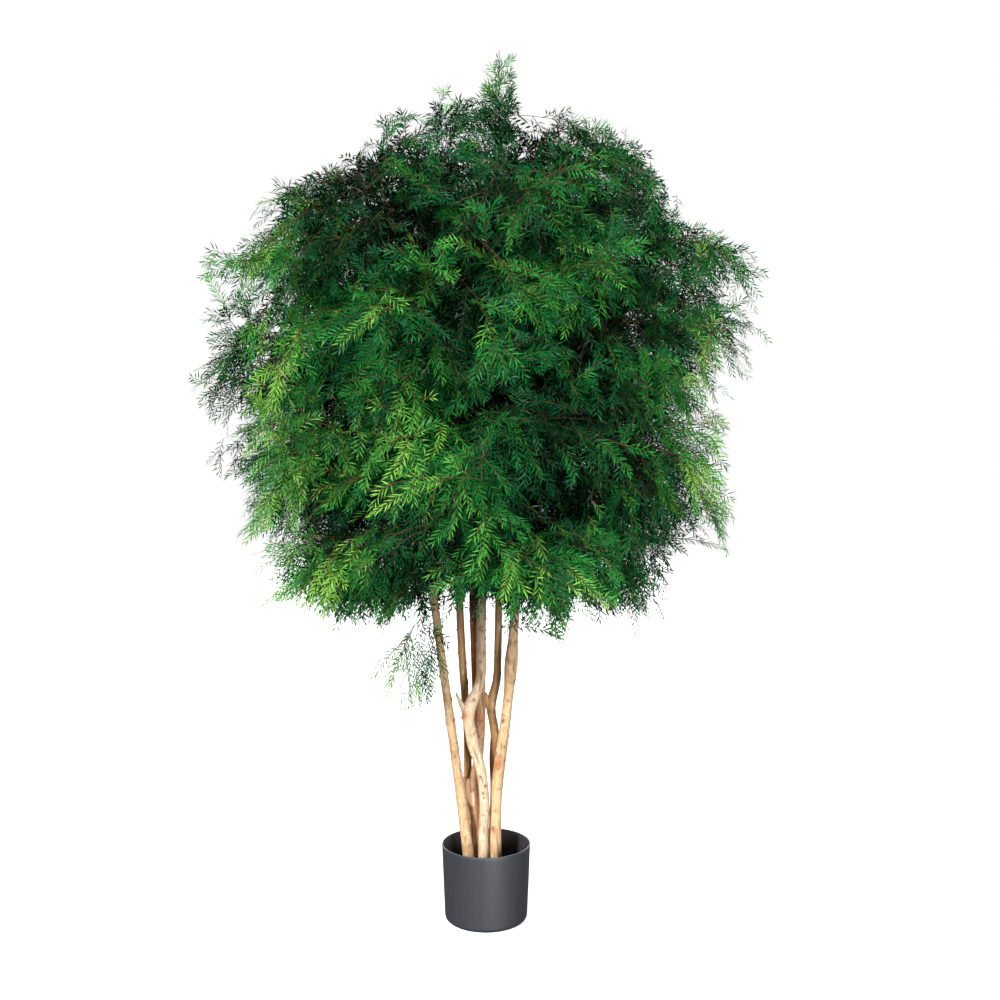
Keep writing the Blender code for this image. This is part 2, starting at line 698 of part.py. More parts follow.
def main():
    for old in list(bpy.data.objects):
        bpy.data.objects.remove(old)
    tree = bpy.data.collections.new("potted_yew")
    pieces = bpy.data.collections.new("pieces_to_fuse")
    for collection in (tree, pieces):
        bpy.context.scene.collection.children.link(collection)

    add_pot(tree)
    add_filling(tree)
    stems = {name: stem_path(name) for name in STEMS}
    for name, (points, radii) in stems.items():
        finish = material(f"peeled wood of {name}", STEMS[name]["colour"], 0.6)
        tube(name, points, radii, STEM_SIDES, finish, tree)

    masses = plan_masses()
    boughs = plan_boughs(masses, stems)
    bark = material("red-brown bark", "#7a5236", 0.7)
    for name, (points, radii) in boughs.items():
        tube(name, points, radii, BOUGH_SIDES, bark, tree)

    limbs = np.vstack([limb_rows(*path) for path in [*stems.values(), *boughs.values()]])
    greens = {tier: material(f"{tier} needles", colour, 0.5) for tier, colour in TIER_GREENS.items()}
    for name, mass in masses.items():
        stem, *others = grow_mass(mass, stems, limbs, random.Random(name))
        for number, shell in enumerate(others):
            loft(f"{name}_shoot_{number}", shell, None, pieces)
        fuse(name, loft(f"{name}_stem", stem, None, tree), pieces, greens[mass["tier"]], tree)


main()
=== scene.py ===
import math
import random

import bpy
import numpy as np
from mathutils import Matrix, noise


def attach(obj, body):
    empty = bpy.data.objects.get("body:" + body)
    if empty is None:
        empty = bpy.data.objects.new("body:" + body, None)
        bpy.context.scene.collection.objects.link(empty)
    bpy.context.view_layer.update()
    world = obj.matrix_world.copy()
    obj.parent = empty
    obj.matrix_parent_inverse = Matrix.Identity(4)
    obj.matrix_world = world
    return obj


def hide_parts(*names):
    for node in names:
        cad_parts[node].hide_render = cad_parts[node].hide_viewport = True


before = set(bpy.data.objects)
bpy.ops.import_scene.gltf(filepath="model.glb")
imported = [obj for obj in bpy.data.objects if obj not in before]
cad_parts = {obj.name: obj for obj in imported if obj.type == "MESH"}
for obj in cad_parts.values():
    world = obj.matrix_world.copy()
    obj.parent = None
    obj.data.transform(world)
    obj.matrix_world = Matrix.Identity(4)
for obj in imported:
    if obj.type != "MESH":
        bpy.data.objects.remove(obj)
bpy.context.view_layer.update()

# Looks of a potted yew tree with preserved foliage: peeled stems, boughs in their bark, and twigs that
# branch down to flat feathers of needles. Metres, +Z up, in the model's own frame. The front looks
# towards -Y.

UP = np.array((0.0, 0.0, 1.0))
GOLDEN_TURN = math.radians(137.508)
GAP = 0.0003

# Pot and filling
POT_HEIGHT = 0.171
POT_RIM_RADIUS = 0.102
POT_FOOT_RADIUS = 0.0945
POT_FOOT_ROUND = 0.010
POT_WALL = 0.003
POT_SIDES = 160
POT_BEND_RINGS = 9
POT_WALL_RINGS = 22
POT_INNER_RINGS = 14
FILLING_TOP = 0.092
FILLING_CLEAR = 0.0004
# The filling's top: how low it lies between the stems, its lumps (height, and how many per metre) and the
# collar drawn up round each stem (height and spread)
FILLING_SINK = 0.003
FILLING_RINGS = 40
FILLING_MIDDLE = 0.02
FILLING_LUMPS = ((0.0016, 90.0), (0.0010, 260.0))
FILLING_COLLAR = (0.0042, 0.006)

# Stems: the middle of each at its foot (x, y), where it enters the crown and at its head (x, y, z), its
# radius at foot and head, the flare of its root, the spacing of its rings below the crown, its bends
# (height, x, y, spread) and its swells (height, radius, spread)
STEM_FOOT = FILLING_TOP + GAP
STEM_FOOT_RISE = 0.006
STEM_CROWN_RINGS = 7
FLARE_HEIGHT = 0.05
STEMS = {
    "left_stem": dict(
        foot=(-0.033, -0.014), waist=(-0.116, -0.024, 0.712), head=(-0.235, -0.060, 1.30),
        radii=(0.0122, 0.0066), flare=0.0012, step=0.100,
        bends=(),
        swells=((0.455, 0.0012, 0.02),),
    ),
    "back_left_stem": dict(
        foot=(-0.038, 0.038), waist=(-0.062, 0.052, 0.687), head=(-0.150, 0.150, 1.44),
        radii=(0.0108, 0.0062), flare=0.0, step=0.090,
        bends=((0.42, 0.006, 0.0, 0.12),),
        swells=(),
    ),
    "red_stem": dict(
        foot=(-0.008, 0.047), waist=(-0.030, 0.058, 0.640), head=(0.010, 0.190, 1.34),
        radii=(0.0105, 0.0062), flare=0.0, step=0.120,
        bends=(),
        swells=(),
    ),
    "leader_stem": dict(
        foot=(-0.021, 0.013), waist=(-0.010, 0.022, 0.700), head=(0.028, 0.004, 1.72),
        radii=(0.0118, 0.0056), flare=0.0, step=0.040,
        bends=((0.30, -0.012, 0.0, 0.05), (0.46, 0.002, 0.002, 0.05)),
        swells=((0.25, 0.0012, 0.03), (0.52, 0.0008, 0.03)),
    ),
    "twisted_stem": dict(
        foot=(-0.0055, -0.016), waist=(-0.0115, -0.024, 0.680), head=(-0.030, -0.150, 1.46),
        radii=(0.0122, 0.0064), flare=0.0010, step=0.032,
        bends=((0.475, -0.029, -0.004, 0.050), (0.405, -0.017, 0.0, 0.050), (0.26, 0.004, 0.0, 0.05)),
        swells=((0.485, 0.0042, 0.03), (0.41, 0.0026, 0.04), (0.60, 0.0018, 0.05)),
    ),
    "forked_stem": dict(
        foot=(0.016, 0.036), waist=(0.029, 0.048, 0.712), head=(0.090, 0.120, 1.40),
        radii=(0.0112, 0.0062), flare=0.0, step=0.045,
        bends=((0.475, -0.013, 0.0, 0.045), (0.36, -0.004, 0.0, 0.05)),
        swells=((0.49, 0.0016, 0.03),),
    ),
    "main_stem": dict(
        foot=(0.0240, -0.002), waist=(0.0720, -0.012, 0.780), head=(0.215, -0.040, 1.42),
        radii=(0.0136, 0.0070), flare=0.0022, step=0.060,
        bends=((0.28, -0.014, 0.0, 0.16), (0.95, 0.026, 0.0, 0.09)),
        swells=((0.585, 0.0046, 0.045), (0.36, 0.0010, 0.08)),
    ),
}

# Crown: height, and how far the tips reach to the left and to the right of the pot's axis there
CROWN_PROFILE = (
    (0.64, 0.32, 0.28),
    (0.70, 0.52, 0.44),
    (0.86, 0.600, 0.580),
    (1.05, 0.665, 0.610),
    (1.25, 0.715, 0.650),
    (1.42, 0.710, 0.700),
    (1.52, 0.690, 0.690),
    (1.60, 0.610, 0.590),
    (1.70, 0.520, 0.480),
    (1.80, 0.360, 0.370),
    (1.88, 0.230, 0.210),
    (1.93, 0.120, 0.110),
)
CROWN_DEPTH = 0.93
CROWN_FLOOR = 0.750
CROWN_FLOOR_DIP = 0.115
CROWN_FLOOR_REACH = 0.34

# Tiers of masses round the stems: how many, the first one's azimuth in degrees, the height of their
# middles, where boughs hand over to them, the end of their own stems (share of the crown's reach, and
# height), how much their twigs sag and how far their sprays face outward instead of up
TIERS = {
    "skirt": dict(count=5, turn=0, height=0.83, entry=0.90, stem=(0.62, 0.86), sag=0.55, face=1.8),
    "low": dict(count=6, turn=30, height=1.04, entry=1.10, stem=(0.64, 1.08), sag=0.45, face=1.7),
    "middle": dict(count=5, turn=36, height=1.27, entry=1.31, stem=(0.66, 1.33), sag=0.32, face=1.6),
    "high": dict(count=5, turn=0, height=1.50, entry=1.51, stem=(0.66, 1.56), sag=0.16, face=1.4),
    "shoulder": dict(count=3, turn=90, height=1.70, entry=1.60, stem=(0.56, 1.70), sag=0.03, face=1.6),
}
MIDDLE_SHARE = 0.58
ENTRY_SHARE = 0.40

# Two masses outside the tiers: their middles, the half sizes of their spaces and their outer tips
LONE_MASSES = {
    "top_foliage": dict(
        middle=(-0.005, 0.0, 1.885), half=(0.125, 0.115, 0.125), tip=(0.030, -0.004, 1.900), sag=-0.05,
        facing=(0.1, -1.0, 0.2), size=0.8, droop=-0.3, dense=1.0, full=1.0,
    ),
    "hanging_foliage": dict(
        middle=(-0.168, -0.095, 0.620), half=(0.100, 0.095, 0.128), tip=(-0.190, -0.120, 0.640), sag=0.60,
        facing=(-0.3, -1.0, 0.3), size=0.5, droop=2.8, dense=0.50, full=0.12, from_stem="left_stem",
        from_height=0.700,
    ),
}

# Boughs
BOUGH_RISE = 0.50
BOUGH_POINTS = 5
BOUGH_ROOT_RADIUS = 0.0062
BOUGH_GIRTH_GROWTH = 0.008
BOUGH_TIP_RADIUS = 0.0044
BOUGH_HEAD_SHARE = 0.92
BOUGH_BENDS = (0.20, 0.40)
BELOW_HEAD = 0.03
CHECK_SPACING = 0.006
BOUGH_CLEAR = 0.0015
HEAD_TIERS = ("high", "shoulder")
START_SHIFTS = (0, 0.03, -0.03, 0.06, -0.06, 0.09, -0.09)
SIDE_START_COST = 0.05

# A mass: its stem, twigs along it, and sprays at the ends of both and along their sides
SPACE_CLEAR = 0.0015
LIMB_CLEAR = 0.0045
SHOOT_CLEAR = 0.007
SHOOT_FREE = 0.05
ROOT_FREE = 0.015
MASS_STEM_RADIUS = 0.0042
STEM_POINTS = 4
STEM_TURNS = (0, 8, -8, 16, -16, 24, -24)
TWIGS = 5
RUN_MARKS = 0.004
TWIG_RADIUS = 0.0026
TWIG_TIP_SHARE = 0.60
TWIG_TRIES = 8
TWIG_SPAN = (0.18, 0.90)
TWIG_LONGEST = 0.30
TWIG_SHORTEST = 0.03
TWIG_OPENING = (math.radians(72), math.radians(42))
TWIG_FLATNESS = 0.75
SPRAY_LONGEST = 0.260
SPRAY_SHORTEST = 0.110
SHOOTS_AT_MOST = 10
SPRAY_SHARE = 0.60
STEM_SPRAY_SHARE = 0.95
SPRAY_RIDGE_SHARE = 0.020
SPRAY_SAG = 0.26
SPRAY_TRIES = 8
SPRAY_SWING = 0.12
SPRAY_ROLL = 0.45
SPRAY_SAMPLES = 4
SAMPLE_SPACING = 0.008
SPRAY_WIDTHS = (0.85, 1.15)
RUN_SHARES = (0.88, 0.97)
TWIG_SAGS = (0.2, 0.7)
SPRAY_SAGS = (0.2, 0.9)
SPRAY_THICK = 1.5
RIDGE_TAPER = 0.6
SPRAY_STATIONS = np.array(
    ((0.16, 0.26, 0.18), (0.36, 0.08, 0.0), (0.50, 0.20, 0.17), (0.69, 0.06, 0.0), (1.0, 0.0, 0.0))
)
SIDE_SPRAYS = {"stem": ((0.75, 50),), "twig": ((0.45, 55),)}

# Finer growth on the main runs of a mass. Filling twigs go to the barest spots until none is farther than
# this from foliage.
RUN_STEP = 0.005
RUN_TAIL = 0.15
ROOM_STEP = 0.01
LEAST_POINTS = 6
FILL_DISTANCE = 0.051
TOP_FILL_DISTANCE = 0.043
TOP_TIERS = ("shoulder", "top_foliage")
FILL_SPAN = 0.42
FILL_SPOTS = 3000
FILL_AT_MOST = 100
FILL_RUN = 0.14
FILL_SAG = 0.24
# A filling twig: how much longer it is than the way to its spot, how far it rises first, its points,
# its least length and its girth
FILL_OVERSHOOT = 1.10
FILL_LIFT = 0.95
FILL_POINTS = 7
FILL_SHORTEST = 0.04
FILL_GIRTH = 0.5
# It starts from one of a few spots of the runs, and seldom from one that is farther out than its end
ROOTS_TRIED = 5
OUTWARD_COST = 1.5
OUTWARD_FREE = 0.02
# The first third of a run bears little foliage
BARE_PART = 3
CORE_SHARE = 0.05
CORE_TOP = 1.60
# Twigs as they are drawn: rings, sides, girth beside the model's, and girth of the tip
TWIG_RINGS = 7
TWIG_SIDES = 5
TWIG_GIRTH = 0.52
TWIG_TAPER = 0.25
# From this share of the crown's depth on, twigs and branchlets are outer ones
OUTER_DEPTH = 0.60
DEEPEST_SHARE = 1.2
LEAST_REACH = 0.05
# Branchlets along every run: spacing, length limits and opening angles at the run's root and tip, and the
# spread of their fan. Every third one stands over the run and is smaller.
BRANCHLET_SPACING = 0.026
BRANCHLET_SPAN = (0.10, 0.96)
BRANCHLET_LENGTHS = (0.060, 0.180)
BRANCHLET_LEAST = 0.45
BRANCHLET_OPENING = (math.radians(58), math.radians(34))
BRANCHLET_SHARE = 0.55
BRANCHLET_FAN = 0.45
BRANCHLET_SAG = 0.26
BRANCHLET_SAGS = (0.1, 0.9)
BRANCHLET_SIZES = (0.75, 1.12)
BRANCHLET_ROLL = 0.9
BRANCHLET_RADIUS = 0.0008
BRANCHLET_TAPER = 0.45
BRANCHLET_RINGS = 3
BRANCHLET_SIDES = 3
COVER_EVERY = 3
COVER_FAN = 0.5
COVER_SIZE = 0.7
HANGING_STRAND = 0.18
HANGING_SIZES = (0.6, 1.1)
HANGING_GIRTH = 0.5
# Feathers along every branchlet, the ranks of needles on both sides of a young shoot
FEATHER_SPACING = 0.027
FEATHER_START = 0.14
FEATHER_END = 0.97
FEATHER_LENGTHS = (0.036, 0.110)
FEATHER_SIZES = (0.7, 1.2)
FEATHER_OPENING = math.radians(42)
FEATHER_OPENINGS = (0.75, 1.25)
FEATHER_ROLL = 0.35
FEATHER_SAG = 0.26
FEATHER_DROOP = 0.35
FEATHER_TILT = 0.65
FEATHER_REACH = 0.92
FEATHER_CUT = 0.6
FEATHER_RADIUS = 0.0006
FEATHER_TAPER = (1.0, 0.8, 0.3)
# A feather on a branchlet shorter than this is shorter too
SHORT_BRANCHLET = 0.12
SHORT_FEATHER = 0.35
# Needles: a real yew's are 20 to 30 mm long and 2 mm wide; these are a little wider, so that they show
NEEDLE_SPACING = 0.0072
LEAST_NEEDLES = 3
NEEDLE_LENGTH = 0.024
NEEDLE_SIZES = (0.82, 1.12)
NEEDLE_WIDTH = 0.0027
NEEDLE_WIDTHS = (0.85, 1.15)
NEEDLE_OPENING = (math.radians(58), math.radians(26))
NEEDLE_OPENING_SPREAD = 0.13
# The middle and the spread of how far needles lift out of a feather's plane, in radians
NEEDLE_LIFT = (0.15, 0.42)
# Where a needle is widest, how deep it is folded there and how far its tip bends down
NEEDLE_WIDEST = 0.45
NEEDLE_FOLD = 0.18
NEEDLE_BEND = 0.08
# Needles are longest along a feather's middle, and shorter by this share at the ends of half a wave, of
# which the feather takes up a part from its start
NEEDLE_SHORTER = 0.40
WAVE_START = 0.12
WAVE_PART = 0.85
PIECE_NEEDLES = 95000
# Columns of the rows for branchlets and feathers: where one starts and heads, its length and facing.
# A branchlet's row ends in its run's reach, a feather's in its branchlet's number, its place on it and
# how light it is.
ROOT, HEADING, LENGTH, FACING = slice(0, 3), slice(3, 6), 6, slice(7, 10)
REACH = 10
BRANCHLET, PLACE, TONE = 10, 11, 12

# The crown's outline as the photo shows it from the front, measured on the plane of the pot's axis: the
# furthest tips to the left and right by height, and the highest and lowest ones from left to right
SIDE_TIPS = (
    (0.60, -0.30, 0.40), (0.66, -0.37, 0.43), (0.72, -0.50, 0.44), (0.78, -0.53, 0.43),
    (0.85, -0.57, 0.43), (0.88, -0.58, 0.57), (0.94, -0.585, 0.585), (0.99, -0.55, 0.585),
    (1.02, -0.64, 0.53), (1.10, -0.65, 0.52), (1.16, -0.60, 0.585), (1.22, -0.66, 0.53),
    (1.25, -0.70, 0.57), (1.28, -0.63, 0.59), (1.34, -0.64, 0.63), (1.40, -0.61, 0.645),
    (1.46, -0.56, 0.60), (1.51, -0.67, 0.64), (1.56, -0.66, 0.58), (1.60, -0.57, 0.50),
    (1.65, -0.53, 0.42), (1.68, -0.50, 0.47), (1.74, -0.36, 0.41), (1.77, -0.40, 0.37),
    (1.82, -0.26, 0.29), (1.88, -0.215, 0.19), (2.02, -0.10, 0.08),
)
CREST = (
    (-0.40, 1.77), (-0.385, 1.78), (-0.32, 1.735), (-0.28, 1.76), (-0.245, 1.81), (-0.205, 1.885),
    (-0.16, 1.85), (-0.13, 1.91), (-0.105, 1.975), (-0.085, 1.90), (-0.05, 1.905), (-0.012, 1.88),
    (0.002, 2.01), (0.062, 2.01), (0.068, 1.86), (0.10, 1.82), (0.13, 1.83), (0.165, 1.875),
    (0.22, 1.84), (0.29, 1.81), (0.37, 1.765), (0.46, 1.68),
)
SKIRT = (
    (-0.59, 0.91), (-0.555, 0.835), (-0.515, 0.735), (-0.44, 0.72), (-0.36, 0.665), (-0.27, 0.64),
    (-0.20, 0.66), (-0.12, 0.66), (-0.095, 0.72), (-0.07, 0.66), (-0.045, 0.71), (-0.02, 0.66),
    (0.005, 0.72), (0.03, 0.69), (0.06, 0.655), (0.085, 0.70), (0.11, 0.65), (0.135, 0.73),
    (0.15, 0.62), (0.18, 0.61), (0.20, 0.72), (0.265, 0.685), (0.35, 0.645), (0.41, 0.66),
    (0.43, 0.85), (0.465, 0.885), (0.57, 0.87),
)
# The shares of that outline that leave a corner of it to a mass, and how fast the top and the skirt draw
# in for a run that stops short of it
RIM_BAND = (0.97, 1.03)
SKIRT_RISE = 0.3
CREST_DROP = 0.4
# The crown's uneven outline all round: waves' size, turns round the crown, rise per metre and shift
CROWN_SHARE = 0.95
CROWN_WAVES = ((0.05, 5, 11, 0), (0.05, 11, -17, 1.3))
# Most runs stop short of the outline. Rim shoots go out to it, so that they stand out one by one.
RUN_REACH = (0.74, 0.95)
# Fine shoots of neighbouring masses interlock by this much, so that no seam shows between them
SHOOT_OVERLAP = 0.035
RIM_RUN = 0.20
RIM_SPREAD = 0.06
RIM_SHOOTS = 4
RIM_PART = 12
RIM_SIZE = 0.45
RIM_REACH = 1.07
TOP_REACH = 0.92
# No shoot goes past this to the front or back; needles stand out up to 30 mm farther
DEEPEST_SHOOT = 0.61
VIEW_DISTANCE = 2.273
VIEW_CENTRE = (0.032, 0.962)
# Spots on the front that shoots cover although no twig of the model leads there
FRONT_SPOTS = (
    (0.015, -0.47, 1.110), (0.050, -0.44, 1.150), (-0.020, -0.43, 1.130),
    (0.020, -0.40, 1.190), (0.060, -0.40, 1.100), (0.010, -0.36, 1.145),
)
# Patches of lighter, yellower sprays on the front: x, z, radius and how much brighter
BRIGHT_PATCHES = (
    (-0.42, 1.29, 0.15, 2.4), (-0.12, 1.11, 0.11, 2.6), (0.24, 1.47, 0.10, 0.9),
    (0.40, 1.25, 0.13, 1.8), (-0.34, 0.83, 0.13, 1.9), (0.20, 0.82, 0.12, 0.8),
)
FRONT_Y = -0.2
TIP_TONE = 2.3
TIP_MIDDLE = 0.7
HANGING_TONE = 0.8
# Painted light and shade by height: sprays darker towards the top and lighter towards the bottom, as the
# lamps stand low
PAINTED_LIGHT_BY_HEIGHT = ((0.50, 0.7), (0.80, 0.3), (1.10, -0.1), (1.35, -0.1), (1.60, -0.5), (2.00, -0.4))
# How light sprays are: patches (gain, and how many per metre), spread, and gain by depth in the crown, a
# painted shade that darkens sprays inside it, where the top counts as outer foliage from this height on
TONE_PATCHES = (2.2, 5.0)
TONE_SPREAD = 0.5
PAINTED_SHADE_BY_DEPTH = (0.71, 7.0)
TONE_TOP = (1.55, 0.35)

# Stems below the crown, read from the photo: kind of mark, height, azimuth in degrees (270 faces the front)
# and size, which for a crack is half its length
STEM_MARKS = {
    "left_stem": (
        ("knot", 0.459, 315, 0.0045), ("knot", 0.452, 190, 0.0035), ("hole", 0.377, 272, 0.0024),
        ("ring", 0.397, 0, 0.003), ("hole", 0.344, 320, 0.0026), ("scar", 0.184, 275, 0.0075),
        ("ring", 0.331, 0, 0.003), ("knot", 0.664, 180, 0.0036), ("hole", 0.634, 250, 0.0022),
        ("ring", 0.5645, 0, 0.004), ("knot", 0.566, 5, 0.004), ("knot", 0.560, 185, 0.004),
        ("knot", 0.506, 340, 0.004), ("ring", 0.504, 0, 0.003), ("patch", 0.512, 340, 0.006),
    ),
    "back_left_stem": (("ring", 0.575, 0, 0.004), ("knot", 0.530, 340, 0.0045), ("ring", 0.520, 0, 0.003)),
    "red_stem": (("patch", 0.60, 270, 0.02), ("knot", 0.575, 300, 0.004)),
    "leader_stem": (
        ("knot", 0.640, 350, 0.004), ("knot", 0.583, 355, 0.004), ("patch", 0.455, 270, 0.012),
        ("patch", 0.430, 310, 0.008), ("hole", 0.448, 285, 0.003), ("hole", 0.412, 250, 0.003),
        ("patch", 0.235, 300, 0.012), ("patch", 0.262, 320, 0.010), ("knot", 0.180, 290, 0.005),
        ("patch", 0.205, 255, 0.010), ("hole", 0.160, 280, 0.003), ("crack", 0.50, 300, 0.02),
    ),
    "twisted_stem": (
        ("hole", 0.668, 255, 0.0026), ("hole", 0.664, 290, 0.0026), ("scar", 0.611, 300, 0.006),
        ("patch", 0.613, 305, 0.004), ("knot", 0.594, 262, 0.0034), ("crack", 0.549, 285, 0.022),
        ("crack", 0.563, 262, 0.012), ("knot", 0.507, 275, 0.0036), ("crack", 0.379, 270, 0.020),
        ("hole", 0.330, 250, 0.0030), ("crack", 0.322, 268, 0.009), ("hole", 0.308, 300, 0.0032),
        ("patch", 0.308, 300, 0.004), ("hole", 0.293, 262, 0.0030), ("hole", 0.282, 268, 0.0030),
        ("scar", 0.208, 268, 0.007), ("patch", 0.470, 230, 0.010),
    ),
    "forked_stem": (
        ("knot", 0.555, 330, 0.004), ("scar", 0.590, 285, 0.007), ("ring", 0.545, 0, 0.003),
        ("knot", 0.405, 345, 0.005), ("patch", 0.385, 320, 0.010),
    ),
    "main_stem": (
        ("scar", 0.612, 268, 0.0215), ("ring", 0.638, 0, 0.0028), ("scar", 0.5585, 300, 0.010),
        ("knot", 0.548, 312, 0.005), ("crack", 0.580, 292, 0.012), ("hole", 0.502, 272, 0.0026),
        ("knot", 0.4550, 238, 0.0036), ("patch", 0.455, 240, 0.006), ("knot", 0.4215, 340, 0.0040),
        ("crack", 0.395, 262, 0.012), ("hole", 0.396, 290, 0.0022), ("scar", 0.3716, 262, 0.0080),
        ("patch", 0.372, 262, 0.006), ("scar", 0.354, 255, 0.0095), ("patch", 0.354, 250, 0.010),
        ("hole", 0.248, 262, 0.0024), ("hole", 0.208, 245, 0.0040), ("patch", 0.203, 262, 0.007),
        ("crack", 0.160, 300, 0.030), ("crack", 0.150, 325, 0.025), ("knot", 0.128, 280, 0.0045),
    ),
}
# Stubs of pruned branches: stem, height, azimuth, rise, length, radii at root and tip, and where the cut
# faces
STUBS = (
    ("leader_stem", 0.213, 205, 3.6, 0.074, (0.0108, 0.0102), (-0.30, -0.95, 0.12)),
    ("twisted_stem", 0.466, 192, 2.0, 0.062, (0.0100, 0.0024), (-0.9, -0.3, 0.8)),
    ("twisted_stem", 0.455, 185, 0.6, 0.021, (0.0036, 0.0017), (-1.0, 0.0, 0.5)),
    ("forked_stem", 0.455, 186, 3.0, 0.054, (0.0085, 0.0062), (-0.25, -0.2, 1.0)),
    ("forked_stem", 0.660, 0, 0.5, 0.0130, (0.0026, 0.0014), (1.0, 0.0, 0.4)),
    ("left_stem", 0.664, 0, 0.8, 0.0165, (0.0028, 0.0016), (1.0, 0.0, 0.8)),
    ("back_left_stem", 0.652, 180, 0.3, 0.0125, (0.0024, 0.0013), (-1.0, 0.0, 0.3)),
    ("back_left_stem", 0.598, 180, 0.3, 0.0125, (0.0026, 0.0014), (-1.0, 0.0, 0.3)),
    ("leader_stem", 0.656, 0, 0.2, 0.0120, (0.0030, 0.0018), (1.0, 0.0, 0.2)),
    ("leader_stem", 0.603, 0, 0.2, 0.0120, (0.0034, 0.0020), (1.0, 0.0, 0.2)),
    ("main_stem", 0.420, 335, 0.3, 0.0160, (0.0036, 0.0022), (1.0, 0.0, 0.3)),
)
# A stem's relief: the spacing of its rings below the crown, how much wider it is inside the crown, and its
# sides
RELIEF_RINGS = 0.0035
RELIEF_CROWN_RINGS = 4
RELIEF_SIDES = 32
STUB_SIDES = 16
STUB_RINGS = 7
STUB_WAVES = ((0.08, 3, 70, 0),)
CUT_RIM = 0.82
# Stubs thinner than this keep some of their bark
THIN_STUB = 0.005
THIN_STUB_BROWN = 0.55
# Small marks dealt out along each stem, and rings where leaves once stood
SMALL_MARKS = 14
SMALL_MARK_HEIGHTS = (0.11, 0.72)
SMALL_MARK_SIZES = (0.0018, 0.0032)
FIRST_RING = 0.15
RING_SPACING = 0.14
RING_SHIFT = 0.04
RING_AZIMUTHS = (200, 340)
RING_SIZE = 0.0032
# How far marks stand out or in, as shares of their sizes, and a crack's depth and width
KNOT_RISE = 0.50
HOLE_DEPTH = 0.55
RING_RISE = 0.30
SCAR_RISE = (0.075, 0.05)
SCAR_NARROW = 0.48
CRACK_DEPTH = 0.0020
CRACK_WIDTH = 0.0017
CRACK_SLANT = 0.8
# How strongly marks are coloured, and the spreads of a scar's rim and dish beside its size
HOLE_TONE = 1.2
PATCH_TONE = 0.9
SCAR_TONES = (0.70, 0.30)
SCAR_SPREADS = (0.26, 0.75)
# A scar's rim is broken: how plain it is, and by which waves that changes
SCAR_RIM = 0.6
SCAR_RIM_WAVES = ((0.4, 9, 90, 0),)
# A ring is plain to one side and lost on the other: its least strength, how much more it has there, and
# over how many radians. It wavers, and its lower edge is dark: tone, how far below and how sharp.
RING_ARC = (0.25, 0.75, 1.1)
RING_WAVES = ((0.9, 1.7, 50, 0),)
RING_EDGE = (0.42, 0.9, 1.6)
# Uneven girth of a stem, all along it and at its foot: waves' size, turns, rise per metre and shift
STEM_SEED = 7.3
STEM_WAVES = ((0.035, 2, 9, 1), (0.025, 3, -14, 2), (0.010, 7, 6, 1))
FOOT_RIBS = ((0.10, 4, 5, 1), (0.05, 9, 0, -1))
FOOT_RIBS_HEIGHT = 0.045
# Grain of a stem's surface: its size beside the girth, how fine it is round the stem and along it
STEM_GRAIN = ((0.030, 1.1, 26), (0.018, 5, 60))
# Boughs in their bark: rings, sides, uneven girth and lumps (size, and how many per metre)
BOUGH_RINGS = 40
BOUGH_SIDES = 10
BOUGH_STEP = 0.004
BOUGH_UNEVEN = ((0.12, 38.0), (0.10, 90.0))
BOUGH_LUMPS = ((0.0009, 170.0),)

# Colours of the stems' dry wood: light parts, dark grain
STEM_WOODS = {
    "left_stem": ("#cfb189", "#9c7346"),
    "back_left_stem": ("#c39d6c", "#8f673c"),
    "red_stem": ("#b87d50", "#84502c"),
    "leader_stem": ("#b8946a", "#7c5a3c"),
    "twisted_stem": ("#d9c4a6", "#a9835a"),
    "forked_stem": ("#c19967", "#91673c"),
    "main_stem": ("#d4b68c", "#a67d4e"),
}
# Bark of the twigs deep in the crown, darker as painted shade, and of those near its surface
TWIG_BARKS = {"inner": "#2c1b10", "outer": "#665030"}
# Greens of the sprays, from the darkest, a painted shade for sprays inside the crown, to the youngest tips,
# and the needles' girth. Needles of that painted shade are drawn wider, so that fewer of them close the
# crown's inside.
NEEDLE_GREENS = {
    "shaded": ("#011006", 1.8),
    "deep": ("#033016", 1.35),
    "blue_green": ("#06502b", 1.05),
    "leaf_green": ("#106528", 1.0),
    "fresh_green": ("#2a7f2e", 1.0),
    "light_green": ("#509839", 1.0),
    "yellow_green": ("#7aae46", 1.0),
}
GREEN_CUTS = (-1.5, -0.5, 0.4, 1.2, 2.0, 2.9)
NEEDLE_SEED = 7

# Patterns of the finishes: width and length of their spots in metres, with the length along Z, and detail.
# Wood grain is 1.2 mm wide and 30 mm long, drawn as coarse as it needs to show.
WOOD_PATTERNS = {
    "grain": (0.0012, 0.030, 3.0),
    "stains": (0.025, 0.060, 4.0),
    "bleached": (0.012, 0.018, 3.0),
    "flecks": (0.0035, 0.007, 2.0),
}
# Inside the crown the stems turn dark brown from a ragged height, partly their bark and partly painted
# shade under the
# foliage: how much the stains shift that height, and where it comes in
BARK_AND_SHADE_SHIFT = 0.30
BARK_AND_SHADE_HEIGHTS = (0.90, 1.08)
BARK_PATTERNS = {"scales": (0.004, 0.009, 3.0)}
# Flow lines 6 mm apart, fine scuffs, and the mould's grain, 0.8 mm across
PLASTIC_PATTERNS = {
    "flow": (0.006, 0.120, 3.0),
    "scuffs": (0.0012, 0.010, 2.0),
    "mould_grain": (0.0008, 0.0008, 3.0),
}
# Sand of 2 mm, and dust in patches 15 mm across
CEMENT_PATTERNS = {"sand": (0.002, 0.002, 3.0), "dust": (0.015, 0.015, 3.0)}
# Noise is nearly all between these values, which roughness is worked out from
NOISE_RANGE = (0.3, 0.7)

